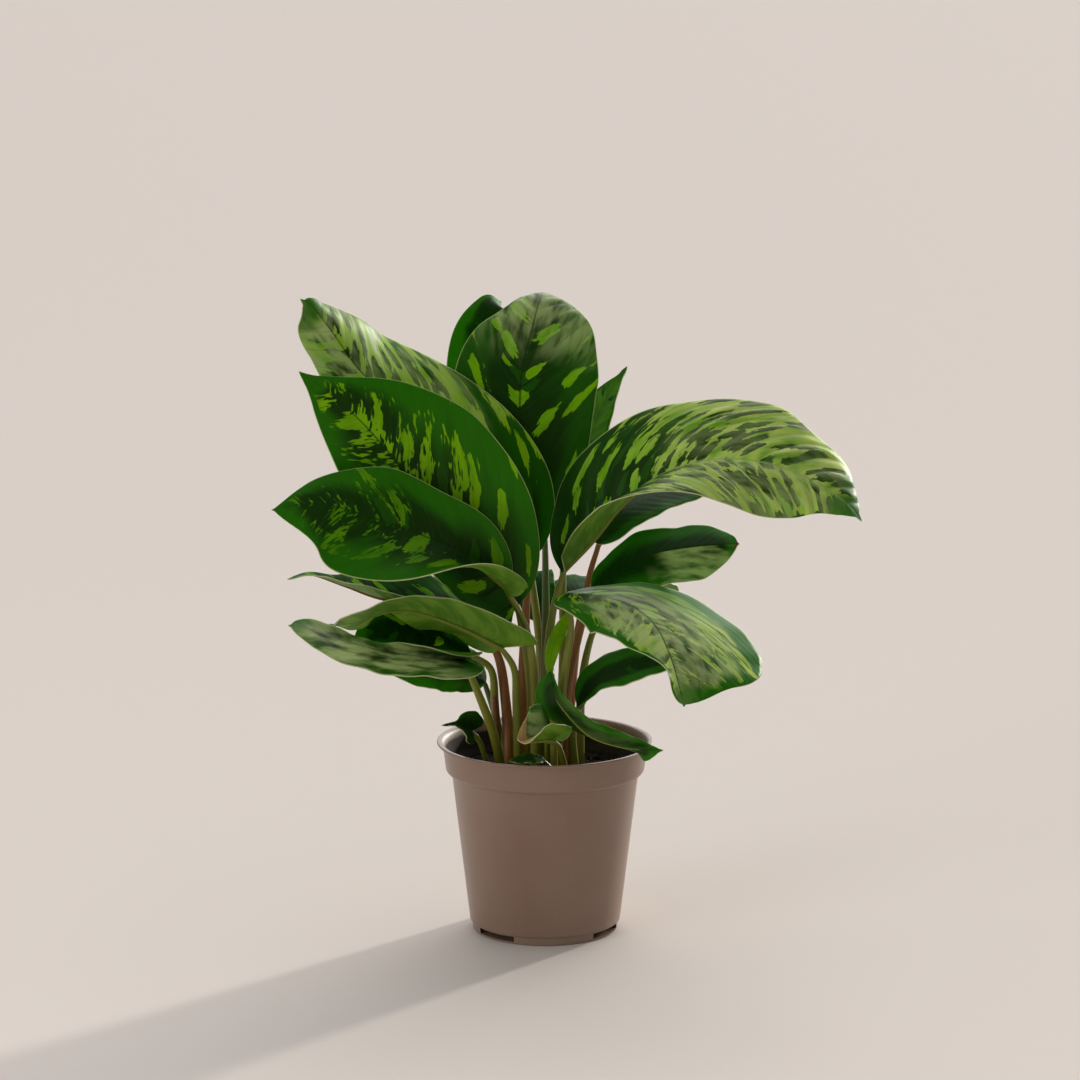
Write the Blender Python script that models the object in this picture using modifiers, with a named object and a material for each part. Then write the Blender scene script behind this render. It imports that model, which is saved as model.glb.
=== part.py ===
# A potted homalomena: a nursery pot, its soil, and one solid for each leaf with its stalk.
# Metres, +Z up. The origin is the middle of the pot's underside, and -Y is the front.
# The plant's own measurements below are in millimetres, and MM turns them into metres.

import math

import bmesh
import bpy
import numpy as np

MM = 0.001

# Pot
POT_HEIGHT = 107.0
RIM_RADIUS = 60.0
RIM_THICKNESS = 1.3
COLLAR_TOP_RADIUS = 56.8
COLLAR_BOTTOM_RADIUS = 55.2
COLLAR_BOTTOM = 91.6
BODY_TOP_RADIUS = 51.8
BODY_BOTTOM_RADIUS = 42.1
FOOT_HEIGHT = 5.0
FOOT_RADIUS = 40.3
CORNER_RADIUS = 3.0
WALL = 1.3
DRAIN_ANGLES = (-134.0, -30.0, 46.0, 150.0)
DRAIN_WIDTH = 26.0
DRAIN_BOTTOM = 1.7
DRAIN_TOP = 4.1
TURN_STEPS = 44

# Soil
GAP = 0.3
SOIL_TOP = 92.0
SOIL_EDGE_DROP = 1.5
HOLE_DEPTH = 14.0
HOLE_CLEARANCE = 0.5

# Leaves
BLADE_THICKNESS = 0.8
TIP_HALF_WIDTH = 1.2
FLAT_BELOW = 10.0
STALK_TIP_RADIUS = 0.45

# Each leaf's stalk rises from its foot (x, y) in the soil through the stem points to the rib's
# first point, and the rib runs through the blade to its tip. thick is the stalk's radius at the
# foot. face is the way that the upper side looks, from the base to the tip. left and right hold a
# half's width, its lift out of the flat at the rib, and its curl from rib to margin, in degrees,
# both from the base to the tip. widest is where along the rib the blade is broadest, base_power
# and tip_power set how round it ends (a lower power is rounder), lobes are how far its two basal
# lobes reach back past the stalk, and grid is a mesh density other than the usual one.
LEAVES = {
    "leaf_upper_left": dict(
        foot=(-9, 9), stem=[(-8, 12, 133), (-8, 15, 172)],
        rib=[(-8, 14, 206), (-25, 8, 238), (-49, 4, 266), (-75, 0, 291), (-100, -6, 314),
             (-114, -12, 335), (-125, -18, 351), (-132, -22, 357)],
        face=[(0.3, -0.9, 0.2), (0.4, -0.8, 0.4), (0.0, -0.9, 0.5)],
        left=(43, (15, 5, 0), (15, 0, -10)), right=(44, (10, -5, -25), (10, -20, -45)),
        widest=0.54, tip_power=0.55),
    "leaf_left_high": dict(
        foot=(-9, -4), stem=[(-8, -7, 131), (-11, -12, 161)],
        rib=[(-15, -18, 187), (-37, -30, 215), (-58, -38, 244), (-77, -44, 268), (-97, -50, 293),
             (-116, -56, 312), (-131, -62, 324)],
        face=[(0.1, -0.95, 0.2), (0.1, -0.95, 0.2), (0.0, -0.9, 0.3)],
        left=(42, (-45, -10, 0, 0), (-20, 0, 10, 10)), right=(44, (10, 0, 0), (10, 0, -25)),
        widest=0.5, tip_power=1.0),
    "leaf_left_middle": dict(
        foot=(-6, -14), stem=[(-6, -16, 138), (-10, -25, 174)],
        rib=[(-21, -38, 201), (-43, -52, 222), (-68, -62, 236), (-93, -72, 247), (-120, -80, 256),
             (-145, -88, 254)],
        face=[(0, -0.9, 0.3), (0, -0.9, 0.4), (-0.1, -0.9, 0.4)],
        left=(36, (60, 30, 5, 0), (110, 60, 20, 0)), right=(31, (10, 5, -10), (0, 0, -30)),
        widest=0.58, tip_power=0.8, base_power=0.75, lobes=(16, 4)),
    "leaf_left_thin": dict(
        foot=(-20, -5), stem=[(-22, 2, 127), (-27, 3, 156)],
        rib=[(-41, -4, 175), (-63, -12, 186), (-90, -20, 192), (-109, -26, 200), (-128, -30, 207),
             (-140, -34, 205)],
        face=[(0.1, -0.1, 1), (0.1, -0.15, 1), (0.1, -0.1, 1)],
        left=(24, (30, 22, 20), (0, 10, 0)), right=(28, (20, 20, 10), (0, 0, 0)),
        widest=0.42, tip_power=1.3),
    "leaf_left_folded": dict(
        foot=(-15, -14), stem=[(-16, -17, 132), (-17, -22, 152)],
        rib=[(-23, -28, 166), (-45, -40, 180), (-68, -48, 190), (-83, -54, 192), (-101, -62, 188),
             (-118, -68, 186)],
        face=[(0.1, 0.4, 0.9), (0.1, 0.3, 0.9), (0.0, -0.3, 0.9)],
        left=(25, (15, 15, 50), (0, 0, 0)), right=(24, (-10, 0, 0), (0, 0, 0)),
        widest=0.5, lobes=(18, 4)),
    "leaf_left_inner": dict(
        foot=(-26, 3), stem=[(-28, 0, 127), (-30, -4, 148)],
        rib=[(-41, -10, 159), (-58, -22, 169), (-74, -32, 175), (-90, -40, 177), (-104, -46, 175)],
        face=[(0, -0.6, 0.8), (0, -0.6, 0.8)],
        left=(22, (0, 0), (0, 0)), right=(26, (0, 0), (0, 0)),
        widest=0.42),
    "leaf_left_low": dict(
        foot=(-24, -14), stem=[(-29, -24, 118), (-38, -38, 146)],
        rib=[(-43, -52, 164), (-63, -68, 169), (-83, -80, 175), (-103, -90, 182), (-121, -96, 190),
             (-136, -100, 194)],
        face=[(0, -0.35, 0.95), (0, -0.35, 0.95), (-0.1, -0.5, 0.9)],
        left=(27, (-10, -5, 0), (0, -5, 0)), right=(10, (30, 0, -10, -10), (90, 60, 10, 0)),
        widest=0.5, tip_power=0.6, lobes=(10, 18), grid=(11, 6)),
    "leaf_left_shaded": dict(
        foot=(-24, 16), stem=[(-27, 21, 113)],
        rib=[(-33, 22, 135), (-47, 20, 146), (-64, 18, 151), (-86, 14, 152)],
        face=[(0, -0.5, 0.85), (0, -0.5, 0.85)],
        left=(18, (-10, -10, -10), (0, -10, 0)), right=(18, (0, 0), (0, 0)),
        widest=0.42),
    "leaf_pot_edge": dict(
        foot=(-32, -6.5), stem=[(-36, -10, 108)], thick=1.6,
        rib=[(-40, -12, 115), (-44, -16, 119), (-48, -20, 121), (-57, -24, 121)],
        face=[(0.5, -0.6, 0.6), (0.2, -0.8, 0.6), (0, -0.6, 0.8)],
        left=(7, (0, 0), (0, 0)), right=(8, (20, 20, 0), (10, 10, 0)),
        widest=0.3, lobes=(4, 8)),
    "leaf_top_back": dict(
        foot=(-3, 29), stem=[(-3, 42, 148), (-9, 52, 197)],
        rib=[(-12, 58, 232), (-25, 64, 265), (-32, 70, 295), (-35, 80, 322), (-31, 96, 340),
             (-25, 112, 338)],
        face=[(0.1, -1, 0.1), (0, -1, 0.1), (0, -0.8, 0.5)],
        left=(25, (0, 0, 0), (0, -20, -20)), right=(26, (0, 0, 0), (0, -20, -20)),
        widest=0.45),
    "leaf_top_centre": dict(
        foot=(-2, 15), stem=[(0, 24, 154), (0, 32, 203)],
        rib=[(-1, 34, 228), (-8, 36, 252), (-13, 38, 274), (-14, 40, 291), (-12, 46, 311),
             (-7, 56, 330), (-3, 72, 343), (0, 90, 344), (3, 104, 338)],
        face=[(0.0, -1, 0.1), (0, -1, 0.2), (0, -0.4, 1)],
        left=(39, (10, 0, 0), (0, 0, -25)), right=(42, (10, 0, 0), (0, 0, -10)),
        widest=0.45, tip_power=1.2),
    "leaf_top_right": dict(
        foot=(8, 22), stem=[(10, 36, 150), (10, 46, 193)],
        rib=[(13, 50, 221), (19, 54, 249), (27, 56, 271), (34, 58, 288), (46, 60, 307)],
        face=[(-0.85, -0.5, 0), (-0.85, -0.5, 0)],
        left=(19, (0, 0), (0, 0)), right=(17, (0, 0), (0, 0)),
        widest=0.45, tip_power=1.4),
    "leaf_big_right": dict(
        foot=(-1, -3), stem=[(1, -2, 150), (4, -4, 180)], thick=2.8,
        rib=[(9, -8, 204), (26, -14, 223), (43, -20, 245), (65, -26, 262), (91, -30, 270),
             (119, -34, 269), (146, -36, 259), (162, -38, 248), (171, -38, 238)],
        face=[(-0.5, -0.8, 0.35), (0.1, -0.7, 0.7), (0.6, -0.6, 0.5)],
        left=(48, (0, 0, -5), (10, -15, -15)),
        right=(39, (90, 75, 38, 0, -5), (20, 0, -10, -20, -10)),
        widest=0.52, tip_power=0.45, lobes=(4, 6)),
    "leaf_right_behind": dict(
        foot=(12, 12), stem=[(17, 26, 153), (24, 34, 190)],
        rib=[(29, 34, 211), (44, 44, 227), (65, 54, 235), (88, 62, 239), (110, 68, 242)],
        face=[(0, -0.2, 1), (0, -0.2, 1)],
        left=(22, (0, 0), (0, 0)), right=(17, (-5, -5, 0), (0, 0)),
        widest=0.42),
    "leaf_right_middle": dict(
        foot=(9, 2), stem=[(13, 8, 140), (21, 14, 172)], thick=2.8,
        rib=[(26, 18, 188), (37, 17, 197), (56, 14, 208), (80, 9, 214), (107, 4, 217)],
        face=[(0, -0.6, 0.8), (0, -0.6, 0.8)],
        left=(26, (10, -8, -10), (0, -8, -10)), right=(24, (0, -5, -10), (0, -5, -10)),
        widest=0.55, tip_power=0.55),
    "leaf_right_front": dict(
        foot=(6, -12), stem=[(10, -16, 145), (14, -20, 175)],
        rib=[(12, -32, 193), (32, -42, 196), (50, -54, 192), (60, -70, 185), (66, -90, 175),
             (70, -106, 164), (73, -114, 153)],
        face=[(0.0, -0.1, 1), (0.3, -0.35, 0.9), (0.5, -0.5, 0.7)],
        left=(55, (0, 0, 5, 10), (0, -10, -5)), right=(30, (-5, -10, -10), (-5, -10, -10)),
        widest=0.65, tip_power=0.45, lobes=(6, 10)),
    "leaf_right_low": dict(
        foot=(16, -5), stem=[(15, -4, 112)],
        rib=[(18, -4, 127), (30, -8, 143), (47, -12, 151), (66, -16, 156), (82, -20, 155)],
        face=[(0, -0.5, 0.85), (0, -0.5, 0.85)],
        left=(18, (0, 0), (0, -10, 0)), right=(14, (0, 0), (0, 10, 0)),
        widest=0.45),
    "leaf_right_sliver": dict(
        foot=(19, 7), stem=[(20, 12, 133), (25, 17, 160)],
        rib=[(32, 22, 175), (43, 34, 179), (59, 50, 179), (76, 66, 174)],
        face=[(0, 0.3, 0.95), (0, 0.3, 0.95)],
        left=(18, (0, 0), (0, 0)), right=(18, (20, 20), (0, 0)),
        widest=0.42),
    "leaf_centre_back": dict(
        foot=(4, 36), stem=[(4, 40, 126)], thick=1.8,
        rib=[(1, 48, 163), (-3, 58, 174), (-2, 70, 182), (4, 84, 186)],
        face=[(0, -0.9, 0.4), (0, -0.6, 0.8), (0, -0.5, 0.9)],
        left=(12, (0, 0), (0, 0)), right=(9, (0, 0), (0, 0)),
        widest=0.42),
    "leaf_front_draped": dict(
        foot=(5, -21), stem=[(4, -20, 123), (3, -23, 141)], thick=2.0,
        rib=[(3, -30, 153), (5, -36, 142), (12, -41, 132), (24, -46, 121), (39, -50, 116),
             (53, -54, 115), (64, -56, 115)],
        face=[(-0.3, -0.9, 0.2), (0.2, -0.8, 0.5), (0.2, -0.6, 0.8)],
        left=(12, (0, 0), (0, 0)), right=(20, (0, -60, -110, -60), (0, -60, -60, 0)),
        widest=0.35),
    "leaf_front_small": dict(
        foot=(12, -27), stem=[(8, -37, 111)], thick=1.6,
        rib=[(4, -44, 121), (-1, -48, 125), (-8, -52, 124), (-15, -56, 121)],
        face=[(0, -0.6, 0.8), (0, -0.6, 0.8)],
        left=(12, (-30, -30), (0, 0)), right=(14, (5, 15, 10), (0, 10, 0)),
        widest=0.42),
    "leaf_back_band": dict(
        foot=(12, 36), stem=[(11, 52, 128)], thick=1.8,
        rib=[(10, 74, 164), (16, 84, 173), (26, 98, 175), (40, 114, 172)],
        face=[(0, -0.3, 0.95), (0, -0.3, 0.95)],
        left=(16, (0, 0), (0, 0)), right=(16, (0, 0), (0, 0)),
        widest=0.42),
    "leaf_young": dict(
        foot=(0.5, -12), stem=[(1, -14, 121)], thick=1.4,
        rib=[(2, -16, 149), (4, -16, 162), (9, -14, 174), (15, -12, 184)],
        face=[(0.3, -1, 0.1), (0, -1, 0.1)],
        left=(4, (10, 10), (0, 0)), right=(4, (10, 10), (0, 0)),
        widest=0.5),
    "leaf_soil_front": dict(
        foot=(3, -32), stem=[(3, -33, 99)], thick=1.2,
        rib=[(0, -35, 104), (-8, -38, 106), (-20, -41, 105)],
        face=[(0, -0.5, 0.9), (0, -0.5, 0.9)],
        left=(4, (0, 0), (0, 0)), right=(4, (0, 0), (0, 0)),
        widest=0.45),
}

# An old stalk that was cut off short, and its radius at the foot and the cut
CUT_STALK = [(-26.5, -4.5, 93.0), (-27.0, -6.0, 113.0), (-28.0, -8.0, 133.3)]
CUT_STALK_RADII = (1.8, 1.5)

# Colours as linear RGB
POT_COLOUR = (0.19, 0.125, 0.09)
SOIL_COLOUR = (0.02, 0.013, 0.009)
LEAF_COLOUR = (0.03, 0.115, 0.012)
YOUNG_COLOUR = (0.16, 0.3, 0.05)
CUT_COLOUR = (0.11, 0.14, 0.03)


def material(name, colour, roughness):
    """A Principled material with a plain colour."""
    made = bpy.data.materials.new(name)
    made.use_nodes = True
    shader = made.node_tree.nodes["Principled BSDF"]
    shader.inputs["Base Color"].default_value = (*colour, 1.0)
    shader.inputs["Roughness"].default_value = roughness
    shader.inputs["Metallic"].default_value = 0.0
    return made


def collection(name):
    """A new collection in the scene."""
    made = bpy.data.collections.new(name)
    bpy.context.scene.collection.children.link(made)
    return made


def place(name, mesh, group, paint=None):
    """Put a mesh in the scene as one object."""
    made = bpy.data.objects.new(name, mesh)
    group.objects.link(made)
    if paint:
        mesh.materials.append(paint)
    return made


def as_cutter(thing):
    """Show a helper as a wire only."""
    thing.hide_render = True
    thing.display_type = "WIRE"
    return thing


def boolean(thing, operation, name, other=None, group=None):
    """Add a Boolean modifier against one object or a collection."""
    step = thing.modifiers.new(name, "BOOLEAN")
    step.operation = operation
    step.solver = "EXACT"
    if group:
        step.operand_type = "COLLECTION"
        step.collection = group
    else:
        step.object = other
    return step


def evaluated_mesh(thing):
    """The object's mesh with its modifiers applied."""
    bpy.context.view_layer.update()
    graph = bpy.context.evaluated_depsgraph_get()
    return bpy.data.meshes.new_from_object(thing.evaluated_get(graph), depsgraph=graph)


def turned(name, profile, group, paint=None):
    """Turn a list of (radius, height) pairs in mm, outer side down, about Z."""
    mesh = bpy.data.meshes.new(name)
    edges = [(i, i + 1) for i in range(len(profile) - 1)]
    mesh.from_pydata([(r * MM, 0.0, z * MM) for r, z in profile], edges, [])
    made = place(name, mesh, group, paint)
    screw = made.modifiers.new("turn", "SCREW")
    screw.steps = TURN_STEPS
    screw.render_steps = TURN_STEPS
    screw.use_merge_vertices = True
    screw.merge_threshold = 0.00001
    return made


def arc(centre, radius, start, end, steps):
    """Points on an arc in the profile's plane, angles in degrees."""
    angles = [math.radians(start + (end - start) * i / steps) for i in range(steps + 1)]
    return [(centre[0] + radius * math.cos(a), centre[1] + radius * math.sin(a)) for a in angles]


def body_radius(height):
    """Outer radius of the tapered body at a height."""
    share = (height - FOOT_HEIGHT) / (COLLAR_BOTTOM - FOOT_HEIGHT)
    return BODY_BOTTOM_RADIUS + (BODY_TOP_RADIUS - BODY_BOTTOM_RADIUS) * share


def pot_profile():
    """The pot's section: up the inside, over the rim and down the outside."""
    inner_foot = FOOT_RADIUS - WALL
    inside = [(0.0, WALL), (inner_foot, WALL)]
    inside += [(body_radius(FOOT_HEIGHT + 3) - WALL, FOOT_HEIGHT + 3)]
    inside += [(body_radius(COLLAR_BOTTOM) - WALL, COLLAR_BOTTOM - 1.0)]
    inside += [(COLLAR_BOTTOM_RADIUS - WALL, COLLAR_BOTTOM + 2.4)]
    inside += [(COLLAR_TOP_RADIUS - WALL, POT_HEIGHT - 3.2)]
    lip_top = POT_HEIGHT - RIM_THICKNESS / 2
    rim = [(RIM_RADIUS - 2.4, POT_HEIGHT)]
    rim += arc((RIM_RADIUS - 0.65, lip_top), 0.65, 80, -80, 3)
    shoulder = arc((COLLAR_BOTTOM_RADIUS - 2.6, COLLAR_BOTTOM + 0.6), 2.6, 0, -75, 3)
    corner_height = FOOT_HEIGHT + CORNER_RADIUS
    corner = arc((body_radius(corner_height) - CORNER_RADIUS, corner_height), CORNER_RADIUS, 0, -65, 3)
    outside = [(COLLAR_TOP_RADIUS, POT_HEIGHT - RIM_THICKNESS - 0.4)] + shoulder
    outside += [(BODY_TOP_RADIUS, COLLAR_BOTTOM - 2.4)] + corner
    outside += [(FOOT_RADIUS, FOOT_HEIGHT - 0.2), (FOOT_RADIUS - 0.2, 0.6), (FOOT_RADIUS - 0.8, 0.0)]
    return inside + rim + outside + [(0.0, 0.0)]


def build_pot(group, cutters):
    """The nursery pot with its slots in the foot."""
    paint = material("pot_plastic", POT_COLOUR, 0.42)
    pot = turned("pot", pot_profile(), group, paint)
    for number, angle in enumerate(DRAIN_ANGLES):
        bpy.ops.mesh.primitive_cube_add(size=1.0)
        box = bpy.context.object
        box.name = "drain_slot_%d" % (number + 1)
        for owner in box.users_collection:
            owner.objects.unlink(box)
        cutters.objects.link(as_cutter(box))
        box.dimensions = (14.0 * MM, DRAIN_WIDTH * MM, (DRAIN_TOP - DRAIN_BOTTOM) * MM)
        turn = math.radians(angle)
        box.location = (FOOT_RADIUS * math.cos(turn) * MM, FOOT_RADIUS * math.sin(turn) * MM,
                        (DRAIN_TOP + DRAIN_BOTTOM) / 2 * MM)
        box.rotation_euler = (0.0, 0.0, turn)
    boolean(pot, "DIFFERENCE", "drain slots", group=cutters)
    pot.data.shade_smooth()
    return pot


def build_soil(group, cutters):
    """The soil, with a plain hole for each stalk."""
    paint = material("potting_soil", SOIL_COLOUR, 0.95)
    edge = COLLAR_BOTTOM - 1.0
    wall = WALL + GAP
    profile = [(0.0, SOIL_TOP), (34.0, SOIL_TOP)]
    profile += [(body_radius(edge) - wall, SOIL_TOP - SOIL_EDGE_DROP)]
    profile += [(body_radius(FOOT_HEIGHT + 3) - wall, FOOT_HEIGHT + 3)]
    profile += [(FOOT_RADIUS - wall - 0.2, WALL + GAP), (0.0, WALL + GAP)]
    soil = turned("soil", profile, group, paint)
    holes = [(name, leaf["foot"], leaf.get("thick", 2.4)) for name, leaf in LEAVES.items()]
    holes.append(("cut_stalk", CUT_STALK[0][:2], CUT_STALK_RADII[0]))
    for name, foot, thick in holes:
        radius = thick + HOLE_CLEARANCE
        depth = HOLE_DEPTH + 6.0
        bpy.ops.mesh.primitive_cylinder_add(vertices=8, radius=radius * MM, depth=depth * MM)
        drill = bpy.context.object
        drill.name = "hole_for_" + name
        for owner in drill.users_collection:
            owner.objects.unlink(drill)
        cutters.objects.link(as_cutter(drill))
        drill.location = (foot[0] * MM, foot[1] * MM,
                          (SOIL_TOP - HOLE_DEPTH + depth / 2) * MM)
    boolean(soil, "DIFFERENCE", "stalk holes", group=cutters)
    return soil


def spline(points, shares):
    """Points at the given shares of a smooth curve through the points."""
    p = np.array(points, float)
    if p.ndim == 1:
        p = p[:, None]
    ends = np.vstack([2 * p[0] - p[1], p, 2 * p[-1] - p[-2]])
    x = np.clip(np.asarray(shares, float) * (len(p) - 1), 0, len(p) - 1 - 1e-9)
    i = x.astype(int)
    t = (x - i)[:, None]
    a, b, c, d = ends[i], ends[i + 1], ends[i + 2], ends[i + 3]
    return 0.5 * (2 * b + (c - a) * t + (2 * a - 5 * b + 4 * c - d) * t ** 2
                  + (3 * b - a - 3 * c + d) * t ** 3)


def even(points, shares):
    """The same curve, with the shares measured along its length."""
    fine = spline(points, np.linspace(0, 1, 400))
    along = np.concatenate([[0], np.cumsum(np.linalg.norm(np.diff(fine, axis=0), axis=1))])
    want = np.asarray(shares) * along[-1]
    return np.stack([np.interp(want, along, fine[:, k]) for k in range(3)], axis=1)


def unit(vectors):
    """Vectors at length 1."""
    return vectors / np.linalg.norm(vectors, axis=1, keepdims=True)


def half_width(u, leaf):
    """Share of the full half width at u, 0 at the base and 1 at the tip."""
    widest = leaf["widest"]
    full_width = leaf["left"][0] + leaf["right"][0]
    low = (1 - np.clip(1 - u / widest, 0, 1) ** 2.3) ** leaf.get("base_power", 0.55)
    t = np.clip((u - widest) / (1 - widest), 0, 1)
    full = (1 - np.clip(t / 0.93, 0, 1) ** 2.1) ** leaf.get("tip_power", 0.85)
    shape = np.where(u < widest, low, 0.92 * full + 0.08 * (1 - t))
    return np.maximum(shape, 2 * TIP_HALF_WIDTH / full_width)


def rib_frame(leaf, u):
    """Rib points, run, face and left-hand directions at u."""
    rib = even(leaf["rib"], u)
    step = 0.002
    run = unit(even(leaf["rib"], np.clip(u + step, 0, 1)) - even(leaf["rib"], np.clip(u - step, 0, 1)))
    face = spline(leaf["face"], u)
    face = unit(face - (face * run).sum(1, keepdims=True) * run)
    return rib, run, face, np.cross(face, run)


def blade_points(leaf, u, v):
    """Blade surface at u along the rib and v across it, -1 right to 1 left."""
    rib, run, face, left = rib_frame(leaf, u)
    shape = half_width(u, leaf)
    across = np.zeros(len(u))
    raised = np.zeros(len(u))
    back = np.zeros(len(u))
    a = np.abs(v)
    sweep = a * (u / 0.1) * np.exp(1 - u / 0.1)
    for side, lobe, chosen in (("left", 0, v > 0), ("right", 1, v <= 0)):
        width, lifts, curls = leaf[side]
        flat = np.clip(width * shape / FLAT_BELOW, 0, 1)
        lift = np.radians(spline(lifts, u)[:, 0]) * flat
        curl = np.radians(spline(curls, u)[:, 0]) * flat
        curl = np.where(np.abs(curl) < 1e-4, 1e-4, curl)
        reach = width * shape / curl
        across = np.where(chosen, reach * (np.sin(lift + curl * a) - np.sin(lift)), across)
        raised = np.where(chosen, reach * (np.cos(lift) - np.cos(lift + curl * a)), raised)
        back = np.where(chosen, leaf.get("lobes", (0, 0))[lobe] * sweep, back)
    across = across * np.sign(v)
    ends = np.where((u < 1e-6) | (u > 1 - 1e-6), 0.0, 1.0)[:, None]
    return rib + (left * across[:, None] + face * raised[:, None] - run * back[:, None]) * ends


def grid_size(leaf):
    """Rows along and columns across a blade: more on the wide blades."""
    size = leaf["left"][0] + leaf["right"][0]
    wide = (12, 6) if size > 60 else (10, 4) if size > 45 else (8, 4)
    return leaf.get("grid", wide)


def row_places(rows):
    """Where the rows lie between base and tip, closer at both ends."""
    return 0.5 - 0.5 * np.cos(np.pi * np.arange(rows + 1) / rows)


def build_blade(name, leaf, group):
    """The blade: a flat grid split into triangles, bent to the leaf's shape and thickened."""
    rows, columns = grid_size(leaf)
    places = row_places(rows)
    grid = bmesh.new()
    bmesh.ops.create_grid(grid, x_segments=columns, y_segments=rows, size=1.0)
    bmesh.ops.triangulate(grid, faces=grid.faces, quad_method="ALTERNATE")
    co = np.array([vertex.co for vertex in grid.verts])
    u = places[np.rint((co[:, 1] + 1) / 2 * rows).astype(int)]
    points = blade_points(leaf, u, co[:, 0]) * MM
    for vertex, point in zip(grid.verts, points):
        vertex.co = point
    bmesh.ops.remove_doubles(grid, verts=grid.verts, dist=0.00002)
    mesh = bpy.data.meshes.new(name)
    grid.to_mesh(mesh)
    grid.free()
    blade = place(name, mesh, group)
    thicken = blade.modifiers.new("thickness", "SOLIDIFY")
    thicken.thickness = BLADE_THICKNESS * MM
    thicken.offset = 0.0
    return blade


def stalk_path(leaf):
    """Stalk and rib points with their radii, from the hole's floor to near the tip."""
    x, y = leaf["foot"]
    thick = leaf.get("thick", 2.4)
    rows = grid_size(leaf)[0]
    u = row_places(rows)[:round(rows * 0.66) + 1]
    rib, run, face, left = rib_frame(leaf, u)
    slim = np.interp(u, (0, u[-1]), (min(1.5, thick), STALK_TIP_RADIUS))
    under = rib - face * slim[:, None]
    rise = even([(x, y, SOIL_TOP + 1.0), *leaf["stem"], under[0]], np.linspace(0, 1, 6))[:5]
    radii = np.linspace(thick, slim[0], 6)[:5]
    points = [(x, y, SOIL_TOP - HOLE_DEPTH + GAP), *rise, *under]
    return points, [thick, *radii, *slim]


def build_tube(name, points, radii, group):
    """A round tube as a closed mesh, through points in mm."""
    curve = bpy.data.curves.new(name, "CURVE")
    curve.dimensions = "3D"
    curve.bevel_depth = MM
    curve.bevel_resolution = 1
    curve.use_fill_caps = True
    line = curve.splines.new("POLY")
    line.points.add(len(points) - 1)
    for spot, point, radius in zip(line.points, points, radii):
        spot.co = (*[value * MM for value in point], 1.0)
        spot.radius = radius
    wire = place(name + "_curve", curve, group)
    mesh = evaluated_mesh(wire)
    welded = bmesh.new()
    welded.from_mesh(mesh)
    bmesh.ops.remove_doubles(welded, verts=welded.verts, dist=0.00001)
    welded.to_mesh(mesh)
    welded.free()
    tube = place(name, mesh, group)
    tube.matrix_world = wire.matrix_world
    bpy.data.objects.remove(wire)
    return tube


def build_leaf(name, leaf, group, helpers, paint):
    """One leaf, its blade and stalk joined in one solid."""
    stalk = build_tube(name + "_stalk", *stalk_path(leaf), helpers)
    blade = build_blade(name, leaf, group)
    boolean(blade, "UNION", "stalk", other=stalk)
    joined = evaluated_mesh(blade)
    blade.modifiers.clear()
    blade.data = joined
    joined.name = name
    joined.materials.clear()
    joined.materials.append(paint)
    joined.shade_smooth()
    joined.set_sharp_from_angle(angle=math.radians(50))
    bpy.data.objects.remove(stalk)
    return blade


def build_cut_stalk(group):
    """The stalk that was cut off, with a flat end."""
    x, y, top = CUT_STALK[0]
    rise = even(CUT_STALK, np.linspace(0, 1, 5))
    points = [(x, y, SOIL_TOP - HOLE_DEPTH + GAP), *rise]
    radii = [CUT_STALK_RADII[0], *np.linspace(*CUT_STALK_RADII, 5)]
    stalk = build_tube("cut_stalk", points, radii, group)
    stalk.data.materials.append(material("cut_stalk", CUT_COLOUR, 0.6))
    stalk.data.shade_smooth()
    stalk.data.set_sharp_from_angle(angle=math.radians(50))


def main():
    """Clear the scene and build the plant in its pot."""
    for thing in list(bpy.data.objects):
        bpy.data.objects.remove(thing)
    parts = collection("potted_homalomena")
    slots = collection("drain_cutters")
    drills = collection("hole_cutters")
    helpers = collection("leaf_helpers")
    build_pot(parts, slots)
    build_soil(parts, drills)
    for name, leaf in LEAVES.items():
        colour = YOUNG_COLOUR if name == "leaf_young" else LEAF_COLOUR
        build_leaf(name, leaf, parts, helpers, material(name, colour, 0.35))
    build_cut_stalk(parts)


main()
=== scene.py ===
import math
import random

import bmesh
import bpy
import numpy as np
from mathutils import Matrix, Vector, noise


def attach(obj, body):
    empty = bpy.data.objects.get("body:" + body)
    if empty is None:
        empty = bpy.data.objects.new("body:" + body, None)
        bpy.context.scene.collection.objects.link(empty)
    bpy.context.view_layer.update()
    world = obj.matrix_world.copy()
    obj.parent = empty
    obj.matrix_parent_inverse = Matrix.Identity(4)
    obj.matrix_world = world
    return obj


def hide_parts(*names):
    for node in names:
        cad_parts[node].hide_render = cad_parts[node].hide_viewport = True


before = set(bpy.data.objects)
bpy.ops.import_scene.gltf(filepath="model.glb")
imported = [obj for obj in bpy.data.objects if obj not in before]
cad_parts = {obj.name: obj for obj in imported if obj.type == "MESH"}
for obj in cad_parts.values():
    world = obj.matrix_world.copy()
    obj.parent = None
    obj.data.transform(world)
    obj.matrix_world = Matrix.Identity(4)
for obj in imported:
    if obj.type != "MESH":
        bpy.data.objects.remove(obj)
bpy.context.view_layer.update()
mm = 0.001
uvScale = 100.0  # mm for one unit of the UV map veinPlace
print("frame loaded")


# Helpers

def tone(red, green, blue):
    # a colour as it looks on screen, made linear
    def linear(value):
        value = value / 255
        return value / 12.92 if value <= 0.04045 else ((value + 0.055) / 1.055) ** 2.4
    return (linear(red), linear(green), linear(blue), 1.0)


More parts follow.
